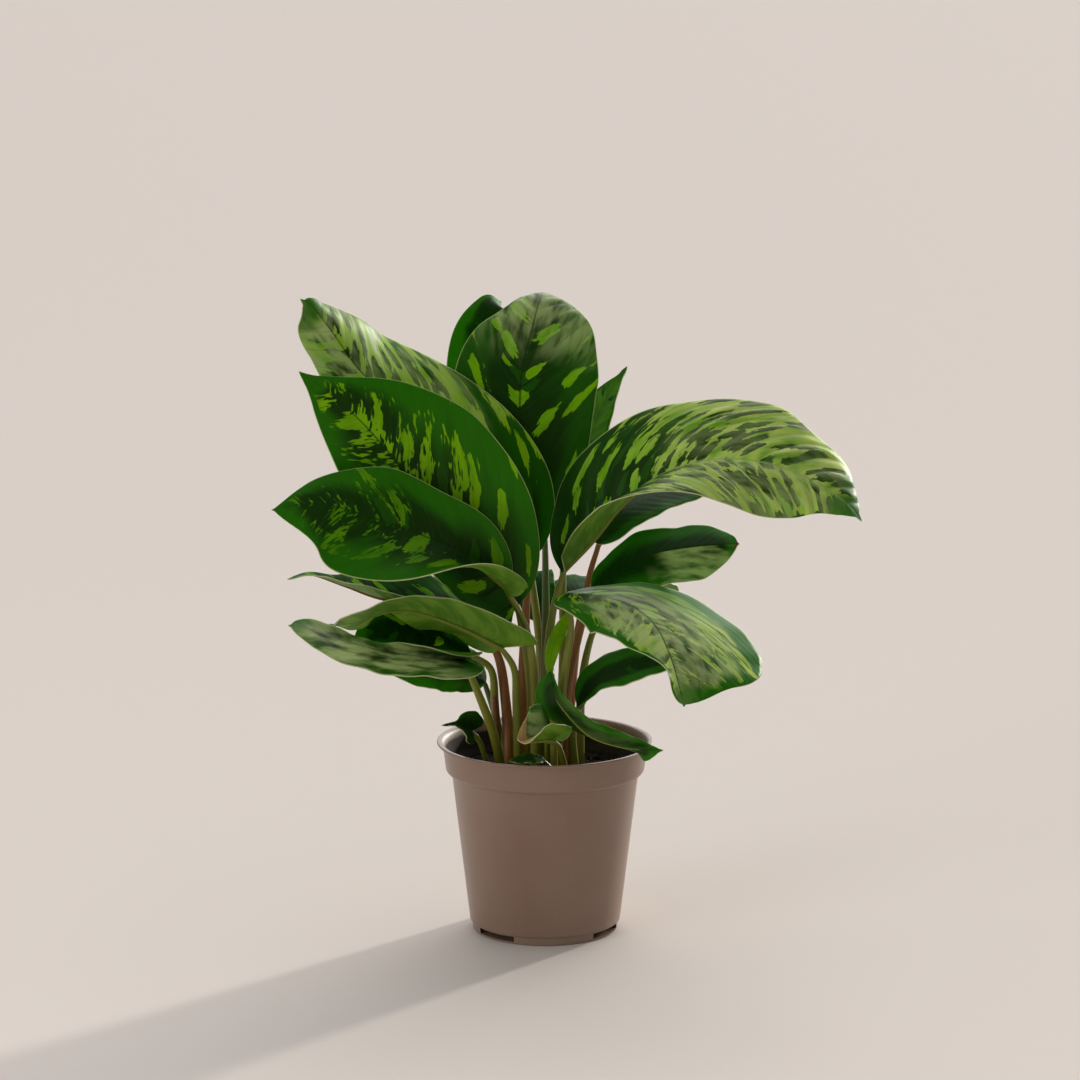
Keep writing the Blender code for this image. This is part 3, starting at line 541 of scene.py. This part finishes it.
        rib=[(32, 22, 175), (43, 34, 179), (59, 50, 179), (76, 66, 174)],
        face=[(0, 0.3, 0.95), (0, 0.3, 0.95)], left=flat(18), right=(18, (20, 20), (0, 0)), seed=60.1,
        paintedSheen=(0.5, 0.5)),
    centreBackLeaf=dict(
        node="leaf_centre_back", foot=(4, 36), stem=[(4, 40, 126)], thick=1.8,
        rib=[(1, 48, 163), (-3, 58, 174), (-2, 70, 182), (4, 84, 186)],
        face=[(0, -0.9, 0.4), (0, -0.6, 0.8), (0, -0.5, 0.9)], left=flat(12), right=flat(9), quilt=0.05,
        seed=63.4, shine=0.02),
    drapedLeaf=dict(
        node="leaf_front_draped", foot=(5, -21), stem=[(4, -20, 123), (3, -23, 141)], thick=2.0,
        rib=[(3, -30, 153), (5, -36, 142), (12, -41, 132), (24, -46, 121), (39, -50, 116),
             (53, -54, 115), (64, -56, 115)],
        face=[(-0.3, -0.9, 0.2), (0.2, -0.8, 0.5), (0.2, -0.6, 0.8)], left=flat(12),
        right=(20, (0, -60, -110, -60), (0, -60, -60, 0)), leftTrim=(0.4, 0.4, 0.6, 0.9, 1.1, 1),
        rightTrim=(1, 1.1, 1.05, 1, 1), widest=0.35, basePower=0.85, quilt=0.1, seed=66.2, zone=1.2,
        paintedSheen=(0.15, 0.05)),
    smallFrontLeaf=dict(
        node="leaf_front_small", foot=(12, -27), stem=[(8, -37, 111)], thick=1.6,
        rib=[(5, -44, 118), (0, -48, 119), (-8, -52, 119), (-15, -56, 121)],
        face=[(0, -0.6, 0.8), (0, -0.6, 0.8)], left=(15, (78, 78, 50), (0, 0, 0)),
        right=(20, (15, 25, 10), (0, 30, 20)), basePower=0.45, lobes=(7, 3), quilt=0.1, seed=69.5, zone=1.0,
        paintedSheen=(0, 0.8), dryTip=0.26, dryTone=(186, 146, 98)),
    backBandLeaf=dict(
        node="leaf_back_band", foot=(12, 36), stem=[(11, 52, 128)], thick=1.8,
        rib=[(10, 74, 164), (16, 84, 173), (26, 98, 175), (40, 114, 172)],
        face=[(0, -0.3, 0.95), (0, -0.3, 0.95)], left=flat(16), right=flat(16), quilt=0.05, seed=72.7,
        shine=0.02),
    youngLeaf=dict(
        node="leaf_young", foot=(0.5, -12), stem=[(1, -14, 121)], thick=1.4,
        rib=[(2, -16, 149), (4, -16, 162), (9, -14, 174), (15, -12, 184)],
        face=[(0.3, -1, 0.1), (0, -1, 0.1)], left=(4, (10, 10), (0, 0)), right=(4, (10, 10), (0, 0)),
        widest=0.5, quilt=0.1, seed=75.9, islands=1.7, reach=1.0, zone=1.0),
    soilFrontLeaf=dict(
        node="leaf_soil_front", foot=(3, -32), stem=[(3, -33, 99)], thick=1.2, stalk="deep",
        rib=[(0, -35, 104), (-8, -38, 106), (-20, -41, 105)],
        face=[(0, -0.5, 0.9), (0, -0.5, 0.9)], left=flat(4), right=flat(4), widest=0.45, quilt=0.1,
        seed=79.3),
)
soilTop = 92.0


def curveAt(points, shares):
    # a smooth curve through the points, read at shares of its spans
    p = np.array(points, float)
    if p.ndim == 1:
        p = p[:, None]
    ends = np.vstack([2 * p[0] - p[1], p, 2 * p[-1] - p[-2]])
    x = np.clip(np.asarray(shares, float) * (len(p) - 1), 0, len(p) - 1 - 1e-9)
    i = x.astype(int)
    t = (x - i)[:, None]
    a, b, c, d = ends[i], ends[i + 1], ends[i + 2], ends[i + 3]
    return 0.5 * (2 * b + (c - a) * t + (2 * a - 5 * b + 4 * c - d) * t ** 2
                  + (3 * b - a - 3 * c + d) * t ** 3)


def evenCurve(points, shares):
    fine = curveAt(points, np.linspace(0, 1, 400))
    along = np.concatenate([[0], np.cumsum(np.linalg.norm(np.diff(fine, axis=0), axis=1))])
    want = np.asarray(shares) * along[-1]
    return np.stack([np.interp(want, along, fine[:, k]) for k in range(3)], axis=1), along[-1]


def unitRows(vectors):
    return vectors / np.linalg.norm(vectors, axis=1, keepdims=True)


def halfShare(u, leaf):
    # the outline: round from base to tip, then drawn out into a drip tip
    widest = leaf["widest"]
    low = (1 - np.clip(1 - u / widest, 0, 1) ** 2.3) ** leaf["basePower"]
    t = np.clip((u - widest) / (1 - widest), 0, 1)
    drip = leaf["drip"]
    full = (1 - np.clip(t / (1 - 0.4 * drip), 0, 1) ** 2.1) ** leaf["tipPower"]
    point = leaf["dripWidth"] * np.clip((1 - t) / drip, 0, 1) ** 0.8
    return np.where(u < widest, low, (full ** 4 + point ** 4) ** 0.25)


def ribFrame(leaf, u):
    # for each place along the rib: the point, the way on, the way that the upper side looks, the way left
    rib, length = evenCurve(leaf["rib"], u)
    after = evenCurve(leaf["rib"], np.clip(u + 0.002, 0, 1))[0]
    before = evenCurve(leaf["rib"], np.clip(u - 0.002, 0, 1))[0]
    run = unitRows(after - before)
    face = curveAt(leaf["face"], u)
    face = unitRows(face - (face * run).sum(1, keepdims=True) * run)
    return rib, run, face, np.cross(face, run), length


def veinGapOf(length):
    return max(4.0, length / 15)  # mm between two side veins


def bladePoints(leaf, u, v):
    rib, run, face, left, length = ribFrame(leaf, u)
    shape = halfShare(u, leaf)
    a = np.abs(v)
    across = np.zeros(len(u))
    raised = np.zeros(len(u))
    back = np.zeros(len(u))
    reachMm = np.zeros(len(u))
    sweep = a * (u / 0.1) * np.exp(1 - u / 0.1)  # the basal lobes reach back beside the stalk
    for side, lobe, chosen in (("left", 0, v > 0), ("right", 1, v <= 0)):
        width, lifts, curls = leaf[side]
        wide = width * shape * curveAt(leaf[side + "Trim"], u)[:, 0]
        full = np.clip(wide / 10.0, 0, 1)  # the narrow ends stay level
        lift = np.radians(curveAt(lifts, u)[:, 0]) * full
        curl = np.radians(curveAt(curls, u)[:, 0]) * full
        curl = np.where(np.abs(curl) < 1e-4, 1e-4, curl)
        bend = wide / curl
        across = np.where(chosen, bend * (np.sin(lift + curl * a) - np.sin(lift)), across)
        raised = np.where(chosen, bend * (np.cos(lift) - np.cos(lift + curl * a)), raised)
        back = np.where(chosen, leaf["lobes"][lobe] * sweep, back)
        reachMm = np.where(chosen, wide * a, reachMm)
    # side veins leave the rib at a slant and bend towards the tip
    veinPlace = u * length - reachMm * (0.7 + 0.012 * reachMm)
    strip = veinPlace / veinGapOf(length)
    fromVein = 0.5 - np.abs(np.mod(strip, 1.0) - 0.5)
    body = np.clip(reachMm / 7.0, 0, 1) * np.clip((1 - a) * 4.0, 0, 1) * np.clip(shape * 1.5, 0, 1)
    body = body * (0.25 + 0.75 * np.clip((u - leaf["quiltStart"]) / 0.2, 0, 1))
    mixed = np.sin(np.floor(strip) * 12.9 + leaf["seed"] + np.sign(v)) * 437.5
    uneven = 0.5 + np.mod(mixed, 1.0)  # each strip between two veins bulges by its own amount
    raised = raised + leaf["quilt"] * uneven * np.sin(math.pi * fromVein) ** 0.8 * body
    turn = 2 * math.pi * leaf["waves"] * u + leaf["seed"] + np.where(v > 0, 0.0, 1.6)
    ripple = np.sin(turn) + 0.45 * np.sin(2.3 * turn + 1.0)
    raised = raised + leaf["wave"] * a ** 3 * ripple * np.clip(shape, 0, 1)
    point = rib + left * (across * np.sign(v))[:, None] + face * raised[:, None] - run * back[:, None]
    ends = ((u < 1e-6) | (u > 1 - 1e-6))[:, None]
    return np.where(ends, rib, point), veinPlace, reachMm * np.sign(v)


def shapedGrid(name, columns, rows, shapeIt, materialIndex):
    # a flat grid whose corners are then moved to the shape, with its two UV maps
    made = bmesh.new()
    bmesh.ops.create_grid(made, x_segments=columns, y_segments=rows, size=1.0)
    co = np.array([corner.co[:2] for corner in made.verts])
    places, veinUv, shareUv = shapeIt(co[:, 0], co[:, 1])
    for corner, place in zip(made.verts, places):
        corner.co = place
    made.verts.index_update()
    veinLayer = made.loops.layers.uv.new("veinPlace")
    shareLayer = made.loops.layers.uv.new("leafShare")
    for patch in made.faces:
        patch.smooth = True
        patch.material_index = materialIndex
        for loop in patch.loops:
            loop[veinLayer].uv = veinUv[loop.vert.index]
            loop[shareLayer].uv = shareUv[loop.vert.index]
    bmesh.ops.remove_doubles(made, verts=made.verts, dist=0.008 * mm)
    return meshOf(name, made)


def closeTube(shape):
    bmesh.ops.holes_fill(shape, edges=[edge for edge in shape.edges if edge.is_boundary], sides=20)


def tubeShape(path, radii):
    # wraps a grid round a path, as a stalk with a shallow channel on its upper side
    run = unitRows(np.gradient(path, axis=0))
    side = [np.cross(run[0], (0.0, -1.0, 0.02))]
    for step in run[1:]:
        side.append(side[-1] - step * np.dot(side[-1], step))
    side = unitRows(np.array(side))
    up = np.cross(run, side)

    def shapeIt(x, y):
        row = np.rint((y + 1) / 2 * (len(path) - 1)).astype(int)
        turn = (x + 1) * math.pi
        channel = 1 - 0.16 * np.exp(-((turn - math.pi) / 0.5) ** 2)
        r = (radii[row] * channel)[:, None]
        place = path[row] + r * (np.cos(turn)[:, None] * side[row] + np.sin(turn)[:, None] * up[row])
        share = np.stack([(x + 1) / 2 * 1.6, row / (len(path) - 1)], axis=1)
        return place * mm, share, share
    return shapeIt


leafBuild = dict(thickness=0.6, rowGap=1.15, fewestRows=40, columnGap=1.7, fewestColumns=14, stalkSides=14)


def makeLeaf(name, settings):
    leaf = {**leafDefaults, **settings}
    kind = "young" if name == "youngLeaf" else "plain"
    size = leaf["left"][0] + leaf["right"][0]
    length = evenCurve(leaf["rib"], [0.0])[1]
    rows = max(leafBuild["fewestRows"], int(length / leafBuild["rowGap"]))
    columns = max(leafBuild["fewestColumns"], int(size / leafBuild["columnGap"]))

    def bladeShape(x, y):
        u = 0.35 * (y + 1) / 2 + 0.65 * (0.5 - 0.5 * np.cos(math.pi * (y + 1) / 2))
        v = -x
        place, vein, reachMm = bladePoints(leaf, u, v)
        veinUv = np.stack([vein, reachMm], axis=1) / uvScale
        return place * mm, veinUv, np.stack([u, 0.5 + 0.5 * v], axis=1)

    blade = shapedGrid(name, columns, rows, bladeShape, 0)
    piece = newObject(name, blade)
    for finish in (makeUpperSide(name, leaf, veinGapOf(length)), underSides[kind], marginFinish):
        blade.materials.append(finish)
    shell = piece.modifiers.new("thickness", "SOLIDIFY")
    shell.thickness = leafBuild["thickness"] * mm
    shell.offset = 0.0
    shell.material_offset = 1
    shell.material_offset_rim = 2
    whole = bmesh.new()
    whole.from_mesh(applied(piece))

    # the stalk goes on as the rib under the blade, to a hair near the tip
    u = np.linspace(0, 0.95, 40)
    rib, run, face = ribFrame(leaf, u)[:3]
    slim = np.interp(u, (0, 0.5, 0.95), (min(1.6, leaf["thick"]), 0.8, 0.25))
    under = rib - face * (slim * 0.9)[:, None]
    x, y = leaf["foot"]
    way = [(x, y, soilTop - 4), (x, y, soilTop + 1), *leaf["stem"], under[0]]
    path = np.vstack([evenCurve(way, np.linspace(0, 1, 36))[0][:-1], under])
    swell = np.interp(np.linspace(0, 1, 35), (0, 0.3, 0.65, 1), (1.7, 1.4, 1.0, 0.0))
    radii = np.concatenate([slim[0] + (leaf["thick"] - slim[0]) * swell, slim])
    sides = leafBuild["stalkSides"]
    whole.from_mesh(shapedGrid(name + "Stalk", sides, len(path) - 1, tubeShape(path, radii), 3))
    closeTube(whole)
    for patch in whole.faces:
        patch.smooth = True
    whole.to_mesh(blade)
    whole.free()
    blade.materials.append(stalkFinishes[leaf["stalk"]])
    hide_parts(leaf["node"])
    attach(piece, "root")


underSides = {
    "plain": makeUnderSide("leafUnderside", 10.0, tone(112, 152, 40), tone(72, 120, 12)),
    "young": makeUnderSide("youngUnderside", 5.0, tone(140, 178, 40), tone(108, 152, 20)),
}
for leafName, leafSettings in leaves.items():
    makeLeaf(leafName, leafSettings)
print("leaves made:", len(leaves))


# The stalk that was cut off

cutStalk = dict(points=[(-26.5, -4.5, 88), (-26.6, -4.7, 96), (-27, -6, 113), (-28, -8, 133.3)], foot=1.8,
                top=1.5, rings=24, upper=(120, 52, 36), lower=(92, 100, 48), fleck=(70, 50, 30))


def makeCutStalk():
    rings = cutStalk["rings"]
    path = evenCurve(cutStalk["points"], np.linspace(0, 1, rings))[0]
    radii = np.linspace(cutStalk["foot"], cutStalk["top"], rings)
    radii[-1] *= 0.8  # the cut end is a little drawn in, over a faint rim
    radii[-2] *= 1.04
    mesh = shapedGrid("cutStalk", leafBuild["stalkSides"], rings - 1, tubeShape(path, radii), 0)
    whole = bmesh.new()
    whole.from_mesh(mesh)
    closeTube(whole)
    whole.to_mesh(mesh)
    whole.free()
    tones = [tone(*cutStalk[place]) for place in ("upper", "lower", "fleck")]
    mesh.materials.append(makeStalkFinish("cutStalkFinish", *tones))
    piece = newObject("cutStalk", mesh)
    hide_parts("cut_stalk")
    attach(piece, "root")


makeCutStalk()


# Pot

pot = dict(height=107.0, rim=60.0, lip=1.3, collarTop=56.8, collarFoot=55.2, collarFootHeight=91.6,
           bodyTop=51.8, bodyFoot=41.8, stepHeight=5.0, stepRadius=40.5, corner=1.2, wall=1.3,
           slots=(-134.0, -30.0, 46.0, 150.0), slotWidth=26.0, slotDepth=14.0, slotLow=1.2, slotHigh=4.3,
           # the last tone is painted shade for the inner wall below the lip
           turns=160, outside=(137, 109, 92), inside=(140, 114, 97), scuff=(160, 140, 124), paintedInnerShade=(38, 27, 22))


def roundOff(centre, radius, start, end, steps):
    angles = [math.radians(start + (end - start) * i / steps) for i in range(steps + 1)]
    return [(centre[0] + radius * math.cos(a), centre[1] + radius * math.sin(a)) for a in angles]


def bodyRadius(height):
    share = (height - pot["stepHeight"]) / (pot["collarFootHeight"] - pot["stepHeight"])
    return pot["bodyFoot"] + (pot["bodyTop"] - pot["bodyFoot"]) * share


def potSection():
    # radius and height of each corner, up the inside from the middle and down the outside back to it
    wall, half, high, foot = pot["wall"], pot["lip"] / 2, pot["height"], pot["collarFootHeight"]
    step, collarFoot, collarTop, rimOut = pot["stepRadius"], pot["collarFoot"], pot["collarTop"], pot["rim"]
    inside = [(0.0, wall), (step - wall, wall), (bodyRadius(8.0) - wall, 8.0)]
    inside += [(bodyRadius(foot) - wall, foot - 1.4), (bodyRadius(foot) - wall + 0.5, foot - 0.2)]
    inside += [(collarFoot - wall - 0.4, foot + 1.8), (collarFoot - wall, foot + 2.8)]
    inside += [(collarTop - wall - 0.1, high - 4.4), (collarTop - wall + 0.5, high - 2.4)]
    lip = [(rimOut - 3.2, high - 0.7), (rimOut - 2.2, high - 0.1)]
    lip += roundOff((rimOut - half, high - half), half, 90, -90, 8)
    under = [(collarTop + 0.7, high - 1.35)]
    under += roundOff((collarTop + 0.7, high - 2.05), 0.7, 90, 180, 3)[1:]
    shoulder = roundOff((collarFoot - 2.6, foot + 0.6), 2.6, 0, -75, 7)
    crease = [(pot["bodyTop"] + 0.35, foot - 1.95), (pot["bodyTop"], foot - 2.5)]
    corner = roundOff((bodyRadius(6.0) - pot["corner"], 6.0), pot["corner"], 0, -75, 6)
    base = [(step, 4.9), (step, 4.4), (step - 0.2, 0.6), (step - 0.8, 0.0), (0.0, 0.0)]
    return inside + lip + under + shoulder + crease + corner + base


def makePotFinish(name, colour, roughness, paintedShadeShare):
    # moulded satin plastic: faint mottling, fine scuffs, and a little dust near the floor
    made, net, shader = newMaterial(name, roughness, 0.5)
    scuff = tone(*pot["scuff"])
    place = net.objectPlace()
    x, y, z = net.split(place)
    broad = net.noise(place, 22.0, 3.0)
    fine = net.noise(place, 1400.0, 2.0)
    turned = net.scaled((x, y, z), (40.0, 40.0, 900.0), 2.0)
    marks = net.scaled((x, y, z), (160.0, 160.0, 30.0), 4.0, 0.6)
    tint = net.mix(net.times(net.rise(broad, 0.35, 0.7), 0.14), colour, scuff)
    tint = net.mix(net.times(net.rise(marks, 0.62, 0.75), 0.16), tint, scuff)
    low = net.inverse(net.rise(z, 0.0, 0.012))
    tint = net.mix(net.times(low, net.times(broad, 0.4)), tint, scuff)
    # inside, painted shade darkens the wall below the lip; its edge slants across the pot as a shadow's edge
    # does
    level = net.timesPlus(x, 0.045, net.timesPlus(marks, 0.002, z))
    paintedInnerShade = net.times(net.inverse(net.rise(level, 0.1002, 0.1026)), paintedShadeShare)
    tint = net.mix(paintedInnerShade, tint, tone(*pot["paintedInnerShade"]))
    net.link(tint, shader.inputs["Base Color"])
    rough = net.timesPlus(marks, 0.16, net.timesPlus(broad, 0.1, roughness - 0.13))
    net.link(net.timesPlus(paintedInnerShade, 0.4, rough), shader.inputs["Roughness"])
    net.bump(shader, net.timesPlus(turned, 0.6, fine), 0.00006, 0.6)
    return made


def makePot():
    made = bmesh.new()
    corners = [made.verts.new((radius * mm, 0.0, height * mm)) for radius, height in potSection()]
    edges = [made.edges.new(pair) for pair in zip(corners, corners[1:])]
    bmesh.ops.spin(made, geom=corners + edges, cent=(0, 0, 0), axis=(0, 0, 1), angle=2 * math.pi,
                   steps=pot["turns"], use_merge=True)
    bmesh.ops.remove_doubles(made, verts=made.verts, dist=0.01 * mm)
    bmesh.ops.recalc_face_normals(made, faces=made.faces)
    piece = newObject("nurseryPot", meshOf("nurseryPot", made))
    cutting = bmesh.new()
    low, high = pot["slotLow"], pot["slotHigh"]
    size = Matrix.Diagonal((pot["slotDepth"] * mm, pot["slotWidth"] * mm, (high - low) * mm, 1))
    for angle in pot["slots"]:
        turn = math.radians(angle)
        x, y = pot["stepRadius"] * math.cos(turn), pot["stepRadius"] * math.sin(turn)
        place = Matrix.Translation(Vector((x, y, (low + high) / 2)) * mm)
        bmesh.ops.create_cube(cutting, size=1.0, matrix=place @ Matrix.Rotation(turn, 4, "Z") @ size)
    cutter = newObject("slotCutters", meshOf("slotCutters", cutting))
    step = piece.modifiers.new("slots", "BOOLEAN")
    step.operation = "DIFFERENCE"
    step.object = cutter
    cut = applied(piece)
    piece.data = cut
    bpy.data.objects.remove(cutter)
    cut.materials.clear()
    cut.materials.append(makePotFinish("potOutside", tone(*pot["outside"]), 0.32, 0.0))
    # the inside finish carries the painted shade below the lip
    cut.materials.append(makePotFinish("potInside", tone(*pot["inside"]), 0.5, 1.0))
    for patch in cut.polygons:
        middle = patch.center
        radius = math.hypot(middle.x, middle.y) / mm
        outwards = patch.normal.x * middle.x + patch.normal.y * middle.y
        patch.material_index = 1 if radius < 57.0 and outwards < 0 and middle.z > 1.2 * mm else 0
    cut.shade_smooth()
    cut.set_sharp_from_angle(angle=math.radians(38))
    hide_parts("pot")
    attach(piece, "root")


makePot()
print("pot made")


# Soil

soil = dict(radius=50.1, cells=120, crown=1.3, skirt=6.0, grains=520, seed=11, clearOfStalks=3.2,
            lumps=((0, 0.09, 1.3), (5, 0.35, 0.7), (9, 1.1, 0.35)))  # layer, how fine, how high in mm


def soilLevel(r):
    # mm, a shallow crown that falls towards the wall at r = 1
    return soilTop - soil["crown"] * r ** 4


def makeSoilFinish():
    made, net, shader = newMaterial("peat", 0.95, 0.25)
    place = net.objectPlace()
    broad = net.noise(place, 90.0, 4.0)
    fine = net.noise(place, 700.0, 4.0, 0.7)
    fibre = net.noise(place, 2200.0, 2.0)
    colour = net.mix(net.rise(broad, 0.35, 0.65), tone(20, 14, 11), tone(36, 26, 19))
    colour = net.mix(net.times(net.rise(fine, 0.62, 0.75), 0.4), colour, tone(70, 52, 36))
    net.link(colour, shader.inputs["Base Color"])
    net.bump(shader, net.timesPlus(fibre, 0.4, fine), 0.0012, 0.9)
    return made


def makeSoil():
    rng = random.Random(soil["seed"])
    made = bmesh.new()
    bmesh.ops.create_grid(made, x_segments=soil["cells"], y_segments=soil["cells"], size=1.0)
    for corner in made.verts:
        x, y = corner.co.x, corner.co.y
        # a square sheet drawn out to a round one
        px = x * math.sqrt(1 - y * y / 2) * soil["radius"]
        py = y * math.sqrt(1 - x * x / 2) * soil["radius"]
        r = math.hypot(px, py) / soil["radius"]
        lumps = sum(noise.noise(Vector((px, py, layer)) * fine) * high for layer, fine, high in soil["lumps"])
        level = soilLevel(r) - 0.9 + lumps * min(1.0, (1.02 - r) * 12)
        corner.co = Vector((px, py, level)) * mm
    rimEdges = [edge for edge in made.edges if edge.is_boundary]
    grown = bmesh.ops.extrude_edge_only(made, edges=rimEdges)["geom"]
    for corner in [item for item in grown if isinstance(item, bmesh.types.BMVert)]:
        x, y, z = corner.co
        corner.co = (x * 0.99, y * 0.99, z - soil["skirt"] * mm)
    bmesh.ops.recalc_face_normals(made, faces=made.faces)
    feet = [leaf["foot"] for leaf in leaves.values()]
    for grain in range(soil["grains"]):
        r = math.sqrt(rng.random()) * (soil["radius"] - 2.5)
        turn = rng.random() * 2 * math.pi
        x, y = r * math.cos(turn), r * math.sin(turn)
        size = rng.uniform(0.5, 1.6) if grain % 9 else rng.uniform(1.6, 2.6)
        if min(math.hypot(x - fx, y - fy) for fx, fy in feet) < soil["clearOfStalks"] + size:
            continue
        place = Matrix.Translation(Vector((x, y, soilLevel(r / soil["radius"]) - 0.7)) * mm)
        angle = rng.uniform(0, 3.1)
        spin = Matrix.Rotation(angle, 4, Vector([rng.random() for axis in range(3)]).normalized())
        squash = (size * mm, size * rng.uniform(0.5, 1.0) * mm, size * rng.uniform(0.4, 0.9) * mm)
        matrix = place @ spin @ Matrix.Diagonal((*squash, 1))
        bmesh.ops.create_icosphere(made, subdivisions=1, radius=1.0, matrix=matrix)
    mesh = meshOf("pottingSoil", made)
    mesh.shade_smooth()
    mesh.materials.append(makeSoilFinish())
    piece = newObject("pottingSoil", mesh)
    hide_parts("soil")
    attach(piece, "root")


makeSoil()
print("soil made")


# Floor, lights and camera, in m and degrees

stage = dict(
    floor=tone(226, 217, 211), floorReach=20.0,
    sunFrom=(1.0, 1.15, 0.38), sunPower=2.2, sunSpread=4.0, sunTone=(1.0, 0.95, 0.87),
    fillPlace=(-1.9, -1.7, 0.8), fillTarget=(0, 0, 0.15), fillSize=1.7, fillPower=17.0,
    fillTone=(0.95, 0.98, 1.0),
    front=0.17, back=0.4, top=0.44, roomTone=(1.0, 0.983, 0.97, 1.0),
    panels=[dict(towards=(0.1, 0.82, 0.56), inner=16, outer=36, power=1.7),
            dict(towards=(0.5, 0.86, 0.12), inner=8, outer=18, power=5.0)])
view = dict(lens=150.0, sensor=36.0, far=100.0, place=(-0.002828, -2.424867, 0.706354), pitch=11.34)


def makeFloor():
    made = bmesh.new()
    bmesh.ops.create_grid(made, x_segments=1, y_segments=1, size=stage["floorReach"])
    mesh = meshOf("paleFloor", made)
    finish, net, shader = newMaterial("floorFinish", 0.9, 0.1)
    shader.inputs["Base Color"].default_value = stage["floor"]
    mesh.materials.append(finish)
    floor = newObject("paleFloor", mesh)


def makeLamp(name, kind, way, power, colour, **settings):
    light = bpy.data.lights.new(name, kind)
    light.energy = power
    light.color = colour
    for label, value in settings.items():
        setattr(light, label, value)
    lamp = newObject(name, light)
    lamp.rotation_euler = way.to_track_quat("-Z", "Y").to_euler()
    return lamp


def makeLights():
    makeLamp("windowSun", "SUN", -Vector(stage["sunFrom"]), stage["sunPower"], stage["sunTone"],
             angle=math.radians(stage["sunSpread"]))
    place = Vector(stage["fillPlace"])
    lamp = makeLamp("fillLight", "AREA", Vector(stage["fillTarget"]) - place, stage["fillPower"],
                    stage["fillTone"], shape="DISK", size=stage["fillSize"])
    lamp.location = place


def makeRoom():
    # a soft room, brighter above and behind than in front, with two broad lit panels
    world = bpy.data.worlds.new("softRoom")
    world.use_nodes = True
    net = nodeNet(world.node_tree)
    x, y, z = net.split(net.new("TexCoord").outputs["Generated"])
    front, back, top = stage["front"], stage["back"], stage["top"]
    power = net.timesPlus(net.rise(y, -0.5, 0.7), back - front, front)
    power = net.timesPlus(net.rise(z, 0.2, 0.95), top - front, power)
    for panel in stage["panels"]:
        way = Vector(panel["towards"]).normalized()
        facing = net.timesPlus(x, way.x, net.timesPlus(y, way.y, net.times(z, way.z)))
        outer, inner = (math.cos(math.radians(panel[edge])) for edge in ("outer", "inner"))
        power = net.timesPlus(net.rise(facing, outer, inner), panel["power"], power)
    net.feed(world.node_tree.nodes["Background"].inputs, {0: stage["roomTone"], 1: power})
    bpy.context.scene.world = world
    bpy.context.scene.view_settings.view_transform = "Standard"


def makeCamera():
    lens = bpy.data.cameras.new("frontCamera")
    lens.lens = view["lens"]
    lens.sensor_width = view["sensor"]
    lens.sensor_fit = "HORIZONTAL"
    lens.clip_end = view["far"]
    camera = newObject("frontCamera", lens)
    camera.location = view["place"]
    camera.rotation_euler = (math.radians(90 - view["pitch"]), 0.0, 0.0)
    bpy.context.scene.camera = camera


makeFloor()
makeLights()
makeRoom()
makeCamera()
print("floor, lights and camera made")

print("scene ready")
